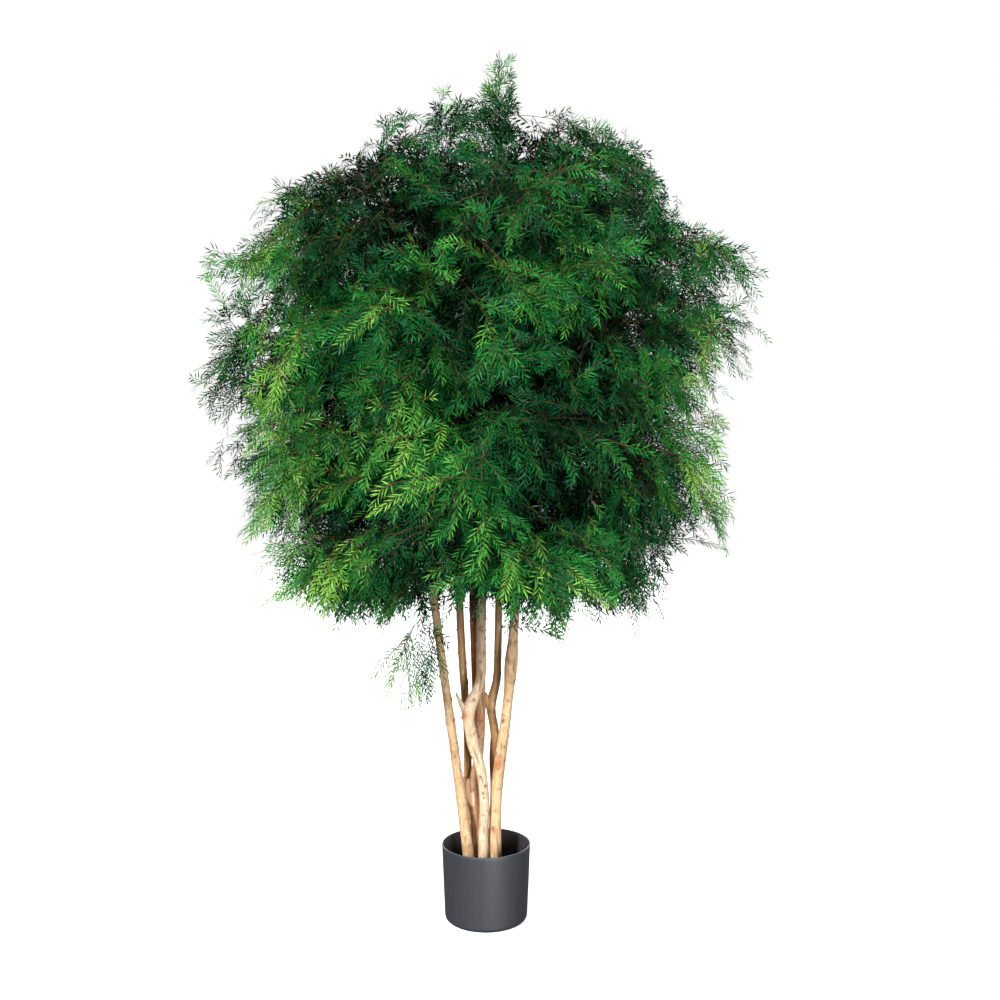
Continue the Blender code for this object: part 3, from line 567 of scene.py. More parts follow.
# Studio: camera; lamps' azimuth and elevation in degrees, strength and the angle that they fill; panels'
# places, sides and power; and how bright the white surroundings and the floor are for the plant
CAMERA_PLACE = (0.032, -2.273, 0.962)
CAMERA_LENS = 35.4
CAMERA_SENSOR = 36.0
LAMPS = {
    "key_softbox": (238, 30, 4.6, 10),
    "fill_softbox": (294, 12, 2.1, 12),
    "back_softbox": (85, 28, 2.6, 40),
}
PANELS = {
    "left_panel": ((-3.4, 2.0, 1.0), (1.0, 2.4), 45),
    "right_panel": ((3.4, 2.0, 1.0), (1.0, 2.4), 45),
    "low_panel": ((0.42, -1.30, 0.16), (0.26, 0.26), 7),
}
WORLD_LIGHT = 0.10
FLOOR_SIDE = 14.0
FLOOR_GLOW = 0.5


def unit(vector):
    """The vector at length 1."""
    return vector / np.linalg.norm(vector)


def unit_rows(rows):
    """Each row at length 1."""
    return rows / np.linalg.norm(rows, axis=-1, keepdims=True)


def turned(vector, axis, angle):
    """The vector turned about a unit axis."""
    cosine, sine = math.cos(angle), math.sin(angle)
    return vector * cosine + np.cross(axis, vector) * sine + axis * (axis @ vector) * (1 - cosine)


def outward(azimuth):
    """The level direction at an azimuth."""
    return np.array((math.cos(azimuth), math.sin(azimuth), 0.0))


def between(ends, share):
    """The value at a share of the way from one end to the other."""
    return ends[0] + (ends[1] - ends[0]) * share


def waves(rows, turn, height, seed=1.0, start=0.0):
    """What waves round and up a shape add to a start: each one's size, turns, rise per metre and shift."""
    for size, turns, rise, shift in rows:
        start = start + size * np.sin(turns * turn + rise * height + shift * seed)
    return start


def uneven(spot, rows):
    """The sum of noises at a point: each one's size, and how many of its lumps there are per metre."""
    return sum(size * noise.noise(spot * rate) for size, rate in rows)


def bezier(start, first, second, end, count):
    """Points on a curve from start to end, pulled by two others."""
    t = np.linspace(0, 1, count)[:, None]
    return (1 - t) ** 3 * start + 3 * t * (1 - t) ** 2 * first + 3 * t * t * (1 - t) * second + t**3 * end


def smooth_run(points, spacing):
    """Evenly spaced points on a curve through the given ones."""
    pieces = np.linalg.norm(np.diff(points, axis=0), axis=1)
    reach = np.append(0, np.cumsum(pieces))
    slopes = np.gradient(points, reach, axis=0)
    marks = np.linspace(0, reach[-1], max(4, round(reach[-1] / spacing) + 1))
    k = np.clip(np.searchsorted(reach, marks, side="right") - 1, 0, len(pieces) - 1)
    step = pieces[k][:, None]
    t = (marks - reach[k])[:, None] / step
    ends = (1 + 2 * t) * (1 - t) ** 2 * points[k] + t * t * (3 - 2 * t) * points[k + 1]
    return ends + step * (t * (1 - t) ** 2 * slopes[k] + t * t * (t - 1) * slopes[k + 1])


# Stems


def bump(height, middle, spread):
    """A rise of 1 at the middle that dies away over its spread."""
    return np.exp(-(((height - middle) / spread) ** 2))


def stem_path(name, spacing=None):
    """Points and radii of a stem at the model's own rings, or evenly spaced for its relief."""
    stem = STEMS[name]
    foot, waist, head = (np.array(stem[key]) for key in ("foot", "waist", "head"))
    heights = np.arange(STEM_FOOT, CROWN_FLOOR, stem["step"])
    crown = np.linspace(heights[-1] + stem["step"], head[2], STEM_CROWN_RINGS)
    heights = np.concatenate((heights, crown))
    end_rise = (head[2] - STEM_FOOT) / (waist[2] - STEM_FOOT)
    lean = head[:2] - (foot + end_rise * (waist[:2] - foot))
    if spacing:
        bare = np.arange(STEM_FOOT, CROWN_FLOOR, spacing)
        hidden = np.arange(CROWN_FLOOR, head[2] - spacing, spacing * RELIEF_CROWN_RINGS)
        heights = np.concatenate((bare, hidden, head[2:]))
    rise = (heights - STEM_FOOT) / (waist[2] - STEM_FOOT)
    points = np.column_stack((foot + np.outer(rise, waist[:2] - foot), heights))
    points[:, :2] += np.outer(np.clip((heights - waist[2]) / (head[2] - waist[2]), 0, 1) ** 2, lean)
    for height, x, y, spread in stem["bends"]:
        points[:, :2] += np.outer(bump(heights, height, spread), (x, y))
    radii = np.interp(heights, (STEM_FOOT, head[2]), stem["radii"])
    radii += stem["flare"] * np.exp((STEM_FOOT - heights) / FLARE_HEIGHT)
    for height, swell, spread in stem["swells"]:
        radii += swell * bump(heights, height, spread)
    foot = points[0].copy()
    points[0] += (0, 0, STEM_FOOT_RISE)
    if spacing:
        points[0] = (*points[1, :2], STEM_FOOT)
        return points, radii
    return np.vstack((foot, points)), np.append(radii[0], radii)


def stem_at(path, height):
    """Middle, direction and radius of a stem at a height."""
    points, radii = path
    below = np.clip(np.searchsorted(points[:, 2], height) - 1, 0, len(points) - 2)
    share = (height - points[below, 2]) / (points[below + 1, 2] - points[below, 2])
    middle = points[below] + share * (points[below + 1] - points[below])
    radius = radii[below] + share * (radii[below + 1] - radii[below])
    return middle, unit(points[below + 1] - points[below]), radius


# Crown


def crown_reach(azimuth, height):
    """How far the tips reach from the pot's axis."""
    heights, left, right = np.array(CROWN_PROFILE).T
    left, right = np.interp(height, heights, left), np.interp(height, heights, right)
    deep = CROWN_DEPTH * (left + right) / 2
    return deep + (np.where(np.cos(azimuth) < 0, left, right) - deep) * np.cos(azimuth) ** 2


def crown_spot(azimuth, height, share):
    """A point at a share of the crown's reach."""
    return outward(azimuth) * crown_reach(azimuth, height) * share + height * UP


def plan_masses():
    """Each mass's middle, outer tip, facing and the point where its bough hands over to it."""
    masses = {}
    for tier, row in TIERS.items():
        for number in range(row["count"]):
            azimuth = math.radians(row["turn"]) + number * math.tau / row["count"]
            masses[f"{tier}_foliage_{number + 1}"] = dict(
                middle=crown_spot(azimuth, row["height"], MIDDLE_SHARE),
                entry=crown_spot(azimuth, row["entry"], ENTRY_SHARE),
                tip=crown_spot(azimuth, row["stem"][1], row["stem"][0]),
                facing=unit(UP + outward(azimuth) * row["face"]),
                sag=row["sag"],
                droop=row["sag"],
                dense=1.0,
                full=1.0,
                size=1.0,
                tier=tier,
            )
    for name, row in LONE_MASSES.items():
        masses[name] = row | {key: np.array(row[key]) for key in ("middle", "half", "tip")}
        masses[name] |= dict(facing=unit(np.array(row["facing"])), tier=name)
    middles = np.array([mass["middle"] for mass in masses.values()])
    for number, mass in enumerate(masses.values()):
        others = np.delete(middles, number, axis=0)
        mass["normals"] = unit_rows(others - mass["middle"])
        mass["offsets"] = (mass["normals"] * (others + mass["middle"]) / 2).sum(axis=1)
    return masses


def inside(points, mass, share=1.0, over=0.0):
    """Which points are in the mass's own space: nearer its middle than another's, and in the crown."""
    points = np.atleast_2d(points)
    kept = (points @ mass["normals"].T < mass["offsets"] - SPACE_CLEAR + over).all(axis=1)
    if "half" in mass:
        return kept & ((((points - mass["middle"]) / mass["half"]) ** 2).sum(axis=1) < 1)
    radius = np.hypot(points[:, 0], points[:, 1])
    dip = CROWN_FLOOR_DIP * np.minimum(1, radius / CROWN_FLOOR_REACH)
    kept &= radius < crown_reach(np.arctan2(points[:, 1], points[:, 0]), points[:, 2]) * share
    return kept & (points[:, 2] > CROWN_FLOOR - dip)


def room(start, heading, sag, mass, longest, within=inside, limits=()):
    """How far a spray that sags can run from a point before it leaves the mass's space."""
    steps = np.arange(ROOM_STEP, longest + ROOM_STEP, ROOM_STEP)
    kept = within(start + steps[:, None] * (heading - sag * UP), mass, *limits)
    return longest if kept.all() else steps[np.argmin(kept)] - ROOM_STEP


# Clearances


def limb_rows(points, radii):
    """Rows of start, end and radius for the straight pieces of a limb."""
    return np.column_stack((points[:-1], points[1:], np.maximum(radii[:-1], radii[1:])))


def clearance(points, rows):
    """The least distance from any of the points to the surface of any limb."""
    if not len(rows):
        return math.inf
    start, run, radius = rows[:, :3], rows[:, 3:6] - rows[:, :3], rows[:, 6]
    share = ((points[:, None] - start) * run).sum(axis=2) / (run**2).sum(axis=1)
    nearest = start + np.clip(share, 0, 1)[..., None] * run
    return (np.linalg.norm(points[:, None] - nearest, axis=2) - radius).min()


def along(points, spacing=CHECK_SPACING):
    """Points at an even spacing along a limb."""
    runs = np.linalg.norm(np.diff(points, axis=0), axis=1)
    reach = np.append(0, np.cumsum(runs))
    marks = np.linspace(0, reach[-1], max(2, int(reach[-1] / spacing)))
    return np.column_stack([np.interp(marks, reach, points[:, axis]) for axis in range(3)])


# Boughs


def bough_path(stem, height, mass):
    """A bough that leaves a stem squarely at a height, or goes on from its head, and ends at the mass."""
    entry, arrive = mass["entry"], unit(mass["tip"] - mass["entry"])
    if height is None:
        points, radii = stem
        heading, root_radius = unit(points[-1] - points[-2]), radii[-1] * BOUGH_HEAD_SHARE
        start = points[-1] + heading * GAP
    else:
        middle, axis, radius = stem_at(stem, height)
        heading = (entry - middle) * (1, 1, 0)
        heading = unit(heading - axis * (heading @ axis))
        start = middle + heading * (radius + GAP)
        root_radius = None
    length = np.linalg.norm(entry - start)
    if root_radius is None:
        root_radius = BOUGH_ROOT_RADIUS + BOUGH_GIRTH_GROWTH * length
    first = start + heading * length * BOUGH_BENDS[0]
    points = bezier(start, first, entry - arrive * length * BOUGH_BENDS[1], entry, BOUGH_POINTS)
    points[1] = start + heading * np.linalg.norm(points[1] - start)
    radii = np.linspace(root_radius, BOUGH_TIP_RADIUS, BOUGH_POINTS)
    return points, radii


def plan_boughs(masses, stems):
    """The first clear bough for each mass, nearest stems and heads first."""
    boughs, used_heads = {}, {"leader_stem"}
    limbs = np.vstack([limb_rows(*path) for path in stems.values()])
    for name, mass in masses.items():
        if "entry" not in mass:
            continue
        tries = []
        for stem, path in stems.items():
            head = path[0][-1]
            if mass["tier"] in HEAD_TIERS and stem not in used_heads:
                tries.append((np.linalg.norm(head - mass["entry"]), stem, None))
            for shift in START_SHIFTS:
                spread = np.linalg.norm((path[0][-1] - mass["entry"])[:2])
                height = mass["entry"][2] - BOUGH_RISE * spread + shift
                if height < head[2] - BELOW_HEAD:
                    middle = stem_at(path, height)[0]
                    cost = np.linalg.norm(middle - mass["entry"]) + abs(shift) + SIDE_START_COST
                    tries.append((cost, stem, height))
        for _, stem, height in sorted(tries, key=lambda row: row[0]):
            points, radii = bough_path(stems[stem], height, mass)
            checked = along(points)[3:]
            if clearance(checked, limbs) > radii[0] + BOUGH_CLEAR:
                break
        else:
            raise RuntimeError(f"no clear way for the bough of {name}")
        if height is None:
            used_heads.add(stem)
        limbs = np.vstack((limbs, limb_rows(points, radii)))
        boughs[name.replace("foliage", "bough")] = mass["bough"] = (points, radii)
    return boughs


# Main runs of a mass: the same stem, twigs and sprays as in the model


def mass_stem(mass, stems):
    """Sag-bent path of a mass's own stem, for each outer tip that it tries in turn."""
    if "from_stem" in mass:
        middle, axis, radius = stem_at(stems[mass["from_stem"]], mass["from_height"])
        heading = (mass["tip"] - middle) * (1, 1, 0)
        heading = unit(heading - axis * (heading @ axis))
        start = middle + heading * (radius + GAP)
    else:
        points = mass["bough"][0] if "bough" in mass else stems["leader_stem"][0]
        heading = unit(points[-1] - points[-2])
        start = points[-1] + heading * GAP
    for turn in STEM_TURNS:
        tip = start + turned(mass["tip"] - start, UP, math.radians(turn))
        length = np.linalg.norm(tip - start)
        arrive = unit(unit(tip - start) - mass["sag"] * UP)
        points = bezier(start, start + heading * length / 3, tip - arrive * length / 3, tip, STEM_POINTS)
        points[1] = start + heading * np.linalg.norm(points[1] - start)
        yield points


def bowed(shares, heading, length):
    """The way from a spray's root to shares of its length, on a course that sags towards its tip."""
    return np.outer(shares * length, heading) - np.outer(shares**2 * length * SPRAY_SAG, UP)


def spray_shell(limb, radii, heading, length, width, facing):
    """Middles and rings of a limb that runs out into a spray, which bows down towards its tip."""
    shares, halves, sweeps = SPRAY_STATIONS.T
    halves = halves * length * width
    spray = limb[-1] + bowed(shares, heading, length)
    points = np.vstack((limb, spray))
    tangents = unit_rows(np.gradient(points, axis=0))
    across = np.cross(facing, points[-1] - points[0])
    sides = unit_rows(across - tangents * (tangents @ across)[:, None])
    ridges = np.cross(tangents, sides)
    ridge = SPRAY_RIDGE_SHARE * length * np.linspace(1, RIDGE_TAPER, len(spray))
    thick = np.append(radii * SPRAY_THICK, ridge)
    low = points - ridges * thick[:, None] / 3
    low[len(limb) :] += bowed(shares + sweeps, heading, length) - bowed(shares, heading, length)
    spread = sides * np.append(radii * math.cos(math.pi / 6), halves)[:, None]
    high = points + ridges * thick[:, None] * 2 / 3
    return points, np.stack((low + spread, low - spread, high), axis=1)


def samples(shell):
    """Points all over a spray, from its ridge out to its edges."""
    shares = np.linspace(0, 1, SPRAY_SAMPLES)[:, None, None]
    spots = []
    for edge in (0, 1):
        outer = along(shell[:, edge], SAMPLE_SPACING)
        marks = np.linspace(0, len(shell) - 1, len(outer))
        inner = np.column_stack([np.interp(marks, range(len(shell)), shell[:, 2, k]) for k in range(3)])
        spots.append((inner + shares * (outer - inner)).reshape(-1, 3))
    return np.vstack(spots)


def fits(shell, mass, limbs, taken):
    """The points of a spray away from its root, if it keeps to the mass's space and clear of the rest."""
    spots = samples(shell)
    reach = np.linalg.norm(spots - shell[0].mean(axis=0), axis=1)
    if not inside(shell[1:].reshape(-1, 3), mass).all():
        return None
    if clearance(spots[reach > ROOT_FREE], limbs) < LIMB_CLEAR:
        return None
    far = spots[reach > SHOOT_FREE]
    return None if np.linalg.norm(far[:, None] - taken, axis=2).min() < SHOOT_CLEAR else far


def twig_heading(axis, facing, roll, opening, sag):
    """Direction of a twig that leaves a run at an opening angle, fanned out flat and pulled down."""
    side = unit(np.cross(axis, facing))
    lift = np.cross(side, axis)
    fan = unit(side * math.cos(roll) + lift * math.sin(roll) * TWIG_FLATNESS)
    return unit(axis * math.cos(opening) + fan * math.sin(opening) - UP * sag)


def main_runs(mass, stems, limbs, rng):
    """The mass's own stem, its twigs and its side sprays: middles, facing and root radius of each."""
    facing, grown, runs, taken = mass["facing"], [], [], np.full((1, 3), 9.0)
    longest, shortest = SPRAY_LONGEST * mass["size"], SPRAY_SHORTEST * mass["size"]

    def add(limb, radii, heading, length, width, turn=0.0):
        nonlocal taken
        tilt = facing + outward(turn) * SPRAY_ROLL if turn else facing
        points, shell = spray_shell(limb, radii, heading, length, width, tilt)
        far = fits(shell, mass, limbs, taken)
        if far is None:
            return False
        grown.append(dict(points=points, facing=unit(tilt), radius=radii[0]))
        taken = np.vstack((taken, far))
        return True

    radii = np.linspace(MASS_STEM_RADIUS, MASS_STEM_RADIUS * TWIG_TIP_SHARE, STEM_POINTS)
    for path in mass_stem(mass, stems):
        heading = unit(path[-1] - path[-2])
        length = room(path[-1], heading, SPRAY_SAG, mass, longest) * STEM_SPRAY_SHARE
        if length > shortest / 2 and add(path, radii, heading, length, 1.0):
            runs.append((path, SIDE_SPRAYS["stem"]))
            break
    else:
        raise RuntimeError("no clear way for the stem of a mass")

    phase, run = rng.uniform(0, math.tau), along(path, RUN_MARKS)
    first, last = TWIG_SPAN
    for number in range(TWIGS):
        share = first + (last - first) * number / (TWIGS - 1)
        place = int(share * (len(run) - 2))
        base, axis = run[place], unit(run[place + 1] - run[place])
        side = unit(np.cross(axis, facing))
        lift = np.cross(side, axis)
        opening = between(TWIG_OPENING, share)
        for attempt in range(TWIG_TRIES):
            roll = phase + number * GOLDEN_TURN + attempt * GOLDEN_TURN / 3
            fan = unit(side * math.cos(roll) + lift * math.sin(roll) * TWIG_FLATNESS)
            heading = axis * math.cos(opening) + fan * math.sin(opening)
            heading = unit(heading - UP * mass["sag"] * rng.uniform(*TWIG_SAGS))
            reach = room(base, heading, SPRAY_SAG * SPRAY_SHARE, mass, TWIG_LONGEST + longest)
            reach *= rng.uniform(*RUN_SHARES)
            length = min(max(reach * SPRAY_SHARE, shortest), longest)
            if reach - length < TWIG_SHORTEST:
                continue
            twig = base + np.outer((0, reach - length), heading)
            twig_radii = np.array((TWIG_RADIUS, TWIG_RADIUS * TWIG_TIP_SHARE))
            if add(twig, twig_radii, heading, length, rng.uniform(*SPRAY_WIDTHS), rng.uniform(0, math.tau)):
                runs.append((twig, SIDE_SPRAYS["twig"]))
                break

    for path, spots in reversed(runs):
        run = along(path, RUN_MARKS)
        for share, angle in spots:
            if len(grown) == SHOOTS_AT_MOST:
                break
            place = int(share * (len(run) - 2))
            base, axis = run[place], unit(run[place + 1] - run[place])
            for attempt in range(SPRAY_TRIES):
                swing = math.radians(angle) * (1 - 2 * (attempt % 2)) + (attempt // 2) * SPRAY_SWING
                heading = turned(axis, unit(facing - axis * (facing @ axis)), swing)
                heading = unit(heading - UP * mass["sag"] * rng.uniform(*SPRAY_SAGS))
                reach = room(base, heading, SPRAY_SAG, mass, longest) * rng.uniform(*RUN_SHARES)
                width, turn = rng.uniform(*SPRAY_WIDTHS), rng.uniform(0, math.tau)
                root = np.array((TWIG_RADIUS * TWIG_TIP_SHARE,))
                if reach > shortest and add(base[None], root, heading, reach, width, turn):
                    break
    return grown


# Finer growth by the same rule


def lumps(points):
    """The share of the crown's reach that foliage comes to: uneven all round, as the photo's outline is."""
    azimuth, height = np.arctan2(points[:, 1], points[:, 0]), points[:, 2]
    return waves(CROWN_WAVES, azimuth, height, start=CROWN_SHARE)


def leafy(points, mass, share=1.0, over=0.0):
    """Which points are in the mass's own space, or as little as stated over its bounds, and within a share
    of the crown's uneven outline."""
    points = np.atleast_2d(points)
    kept = inside(points, mass, lumps(points) * share, over)
    # Foliage on the near side is seen larger, so it is held to the outline where it is seen.
    nearer = np.maximum(1, VIEW_DISTANCE / (VIEW_DISTANCE + points[:, 1]))
    x = VIEW_CENTRE[0] + (points[:, 0] - VIEW_CENTRE[0]) * nearer
    z = VIEW_CENTRE[1] + (points[:, 2] - VIEW_CENTRE[1]) * nearer
    heights, left, right = np.array(SIDE_TIPS).T
    if mass["tier"] != "hanging_foliage":
        kept &= z > np.interp(x, *np.array(SKIRT).T) + (1 - share) * SKIRT_RISE
        kept &= (x > np.interp(z, heights, left) * share) & (x < np.interp(z, heights, right) * share)
    kept &= np.abs(points[:, 1]) < DEEPEST_SHOOT
    crest = np.interp(x, *np.array(CREST).T)
    return kept & (z < crest - (1 - share) * CREST_DROP)


def depth_share(points):
    """Where points lie between the pot's axis, 0, and the crown's outer tips, 1."""
    radius = np.hypot(points[:, 0], points[:, 1])
    reach = crown_reach(np.arctan2(points[:, 1], points[:, 0]), points[:, 2])
    return np.clip(radius / np.maximum(reach, LEAST_REACH), 0, DEEPEST_SHARE)


def run_reach(mass, draw):
    """The share of the outline that a run comes to, seldom all of it, but nearly so at the crown's top."""
    reach = between(RUN_REACH, draw.random() ** 2)
    return max(reach, TOP_REACH) if mass["tier"] in TOP_TIERS else reach


def trimmed(run, mass, reach):
    """The run as a smooth line, as far as its own share of the outline lets it come."""
    line = smooth_run(run["points"], RUN_STEP)
    kept = np.flatnonzero(leafy(line, mass, reach))
    last = max(kept[-1] + 1 if len(kept) else 0, min(len(line), LEAST_POINTS))
    return run | dict(line=line[:last], reach=reach)


def rim_goals(mass, spots, draw):
    """Where single shoots of a mass reach the crown's outline: all round, and at each corner of the outline
    that the photo shows."""
    corners = [(x, z) for z, left, right in SIDE_TIPS for x in (left, right)] + [*CREST, *SKIRT]
    corners = np.array([(x, draw.normal(0, RIM_SPREAD), z) for x, z in corners])
    corners = corners[leafy(corners, mass, RIM_BAND[1]) & ~leafy(corners, mass, RIM_BAND[0])]
    if mass["tier"] == "top_foliage":
        corners = corners[:0]
    outer = spots[np.argsort(-depth_share(spots))[: len(spots) // RIM_PART]]
    front = np.array(FRONT_SPOTS)
    return np.vstack((corners, outer[:: max(1, len(outer) // RIM_SHOOTS)], front[leafy(front, mass)]))


def twig_towards(goal, wanted, roots, mass, limbs, draw):
    """A twig of about the wanted length to a goal, from a spot of the runs that leaves it a clear way."""
    outer = np.hypot(*roots[:, :2].T) - np.hypot(*goal[:2])
    cost = np.abs(np.linalg.norm(roots - goal, axis=1) - wanted)
    cost += OUTWARD_COST * np.maximum(0, outer + OUTWARD_FREE)
    for root in roots[np.argsort(cost)[:ROOTS_TRIED]]:
        length = np.linalg.norm(goal - root) * FILL_OVERSHOOT
        heading = unit(unit(goal - root) + UP * FILL_SAG * FILL_LIFT)
        shares = np.linspace(0, 1, FILL_POINTS)
        points = root + np.outer(shares * length, heading) - np.outer(shares**2 * length * FILL_SAG, UP)
        if clearance(points[2:], limbs) > LIMB_CLEAR and length > FILL_SHORTEST:
            tilt = unit(mass["facing"] + outward(draw.uniform(0, math.tau)) * SPRAY_ROLL)
            return dict(points=points, facing=tilt, radius=TWIG_RADIUS * FILL_GIRTH)
    return None


def filling_runs(mass, main, limbs, draw):
    """More twigs: to the crown's rim, and then to the barest spot until no spot is far from foliage."""
    spots = mass["middle"] + draw.uniform(-FILL_SPAN, FILL_SPAN, (FILL_SPOTS, 3))
    spots = spots[leafy(spots, mass)]
    spots = spots[(depth_share(spots) > CORE_SHARE) | (spots[:, 2] > CORE_TOP)]
    lines = [run["line"] for run in main]
    roots, grown = np.vstack(lines), []
    for goal in rim_goals(mass, spots, draw):
        run = twig_towards(goal, RIM_RUN, roots, mass, limbs, draw)
        if run:
            grown.append(trimmed(run | {"size": RIM_SIZE}, mass, 1.0) | {"reach": RIM_REACH})
    lines += [run["line"] for run in grown]
    leaves = np.vstack([line[len(line) // BARE_PART :] for line in lines])
    far = np.linalg.norm(spots[:, None] - leaves, axis=2).min(axis=1)
    near_enough = TOP_FILL_DISTANCE if mass["tier"] in TOP_TIERS else FILL_DISTANCE
    for _ in range(FILL_AT_MOST):
        barest = far.argmax()
        if far[barest] < near_enough:
            break
        run = twig_towards(spots[barest], FILL_RUN, roots, mass, limbs, draw)
        far[barest] = 0
        if run:
            line = smooth_run(run["points"], RUN_STEP)
            grown.append(trimmed(run, mass, run_reach(mass, draw)))
            roots = np.vstack((roots, line[2:]))
            leaves = line[len(line) // BARE_PART :]
            far = np.minimum(far, np.linalg.norm(spots[:, None] - leaves, axis=2).min(axis=1))
    return grown


def branchlets_along(run, mass, rng):
    """Side shoots of a run, to both sides by turns and every third one over it, long near its root and
    short near its tip; the run itself ends in one too."""
    line = run["line"]
    tangents = unit_rows(np.gradient(line, axis=0))
    length = RUN_STEP * (len(line) - 1)
    first, last = BRANCHLET_SPAN
    count = int(length * (last - first) / BRANCHLET_SPACING * mass["dense"])
    grown, hand = [], rng.choice((-1, 1))
    for number in range(count):
        share = first + (last - first) * (number + rng.random()) / count
        place = int(share * (len(line) - 1))
        base, axis = line[place], tangents[place]
        hand = -hand
        roll, size = rng.gauss(0, BRANCHLET_FAN) + (0 if hand > 0 else math.pi), 1.0
        if number % COVER_EVERY == COVER_EVERY - 1:
            roll, size = rng.gauss(math.pi / 2, COVER_FAN), COVER_SIZE
        sag = mass["droop"] * rng.uniform(*BRANCHLET_SAGS)
        heading = twig_heading(axis, run["facing"], roll, between(BRANCHLET_OPENING, share), sag)
        wanted = BRANCHLET_SHARE * length * (1 - share) + BRANCHLET_LENGTHS[0] * mass["size"]
        wanted = min(wanted, BRANCHLET_LENGTHS[1]) * rng.uniform(*BRANCHLET_SIZES)
        wanted = wanted * size * run.get("size", 1.0)
        if mass["tier"] == "hanging_foliage":
            wanted = HANGING_STRAND * rng.uniform(*HANGING_SIZES)
        limits = (run["reach"], SHOOT_OVERLAP)
        reach = room(base, heading, BRANCHLET_SAG, mass, wanted, leafy, limits)
        if reach > BRANCHLET_LENGTHS[0] * BRANCHLET_LEAST:
            facing = unit(run["facing"] + outward(rng.uniform(0, math.tau)) * BRANCHLET_ROLL * rng.random())
            grown.append((*base, *heading, reach, *facing, run["reach"]))
    tail = max(0, len(line) - 1 - int(RUN_TAIL / RUN_STEP))
    course = unit(line[-1] - line[tail])
    grown.append((*line[tail], *course, RUN_STEP * (len(line) - 1 - tail), *run["facing"], run["reach"]))
    return grown


def feathers_on(branchlets, mass, draw):
    """Rows for the feathers of all branchlets, but for how light they are. The first ones are the
    branchlets' own outer parts."""
    base, heading, facing = (branchlets[:, part] for part in (ROOT, HEADING, FACING))
    length = branchlets[:, LENGTH]
    number = np.arange(len(length))
    root = base + heading * (FEATHER_START * length)[:, None]
    root -= UP * (BRANCHLET_SAG * FEATHER_START**2 * length)[:, None]
    course = unit_rows(heading - UP * 2 * BRANCHLET_SAG * FEATHER_START)
    tilt = unit_rows(facing + draw.normal(0, FEATHER_TILT, facing.shape))
    own = np.column_stack((root, course, length * (1 - FEATHER_START), tilt, number, np.ones(len(length))))
    counts = np.maximum(1, ((1 - FEATHER_START) * length / FEATHER_SPACING).astype(int))
    number = np.repeat(number, counts)
    order = np.concatenate([np.arange(count) for count in counts])
    span = FEATHER_END - FEATHER_START
    share = FEATHER_START + span * (order + draw.random(len(order))) / counts[number]
    long = length[number]
    root = base[number] + heading[number] * (share * long)[:, None]
    root -= UP * (BRANCHLET_SAG * share**2 * long)[:, None]
    axis = unit_rows(heading[number] - UP * (2 * BRANCHLET_SAG * share)[:, None])
    side = unit_rows(np.cross(axis, facing[number])) * np.where(order % 2, 1, -1)[:, None]
    lift = np.cross(side, axis)
    opening = FEATHER_OPENING * draw.uniform(*FEATHER_OPENINGS, len(order))
    roll = draw.normal(0, FEATHER_ROLL, len(order))
    course = axis * np.cos(opening)[:, None] + side * (np.sin(opening) * np.cos(roll))[:, None]
    course += lift * (np.sin(opening) * np.sin(roll))[:, None] - UP * mass["droop"] * FEATHER_DROOP
    course = unit_rows(course)
    reach = np.ptp(FEATHER_LENGTHS) * (1 - share) * draw.uniform(*FEATHER_SIZES, len(order))
    reach = (reach + FEATHER_LENGTHS[0]) * np.minimum(1, SHORT_FEATHER + long / SHORT_BRANCHLET)
    tilt = unit_rows(facing[number] + draw.normal(0, FEATHER_TILT, (len(order), 3)))
    rows = np.column_stack((root, course, reach, tilt, number, share))
    # A side feather that would stand out of the crown is cut short, and left out if that isn't enough.
    limit = np.maximum(branchlets[number, REACH], FEATHER_REACH)
    ends = [root + (course - FEATHER_SAG * UP) * (reach * part)[:, None] for part in (1.0, FEATHER_CUT)]
    whole, short = (leafy(spots, mass, limit, SHOOT_OVERLAP) for spots in ends)
    rows[~whole, LENGTH] *= FEATHER_CUT
    kept = (whole | short) & (draw.random(len(rows)) < mass["full"])
    return np.vstack((own, rows[kept]))


# Meshes


def mesh_piece(name, points, faces, finish, smooth=False, marks=None):
    """A piece from vertices and arrays of faces, each with its own number of corners."""
    mesh = bpy.data.meshes.new(name)
    points = np.asarray(points, np.float32).reshape(-1, 3)
    faces = [np.asarray(rows, np.int32) for rows in faces if len(rows)]
    corners = np.concatenate([rows.ravel() for rows in faces])
    sizes = np.concatenate([np.full(len(rows), rows.shape[1], np.int32) for rows in faces])
    mesh.vertices.add(len(points))
    mesh.vertices.foreach_set("co", points.ravel())
    mesh.loops.add(len(corners))
    mesh.loops.foreach_set("vertex_index", corners)
    mesh.polygons.add(len(sizes))
    mesh.polygons.foreach_set("loop_start", np.append(0, np.cumsum(sizes)[:-1]).astype(np.int32))
    mesh.polygons.foreach_set("use_smooth", np.full(len(sizes), smooth))
    mesh.update(calc_edges=True)
    mesh.validate()
    for mark, shares in (marks or {}).items():
        layer = mesh.attributes.new(mark, "FLOAT", "POINT")
        layer.data.foreach_set("value", np.asarray(shares, np.float32).ravel())
    mesh.materials.append(finish)
    piece = bpy.data.objects.new(name, mesh)
    bpy.context.scene.collection.objects.link(piece)
    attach(piece, "root")
    return piece


def ring_faces(count, rings, sides):
    """Walls and both end faces of closed tubes with as many rings each."""
    first = np.arange(count * rings).reshape(count, rings)[:, :-1].reshape(-1, 1) * sides
    here, after = np.arange(sides), (np.arange(sides) + 1) % sides
    walls = np.stack((first + after, first + here, first + here + sides, first + after + sides), axis=2)
    starts = np.arange(count)[:, None] * rings * sides
    return [walls.reshape(-1, 4), starts + here, starts + (rings - 1) * sides + here[::-1]]


def flipped(faces):
    """The faces turned round, for rings that run the other way about their limb."""
    return [rows[:, ::-1] for rows in faces]


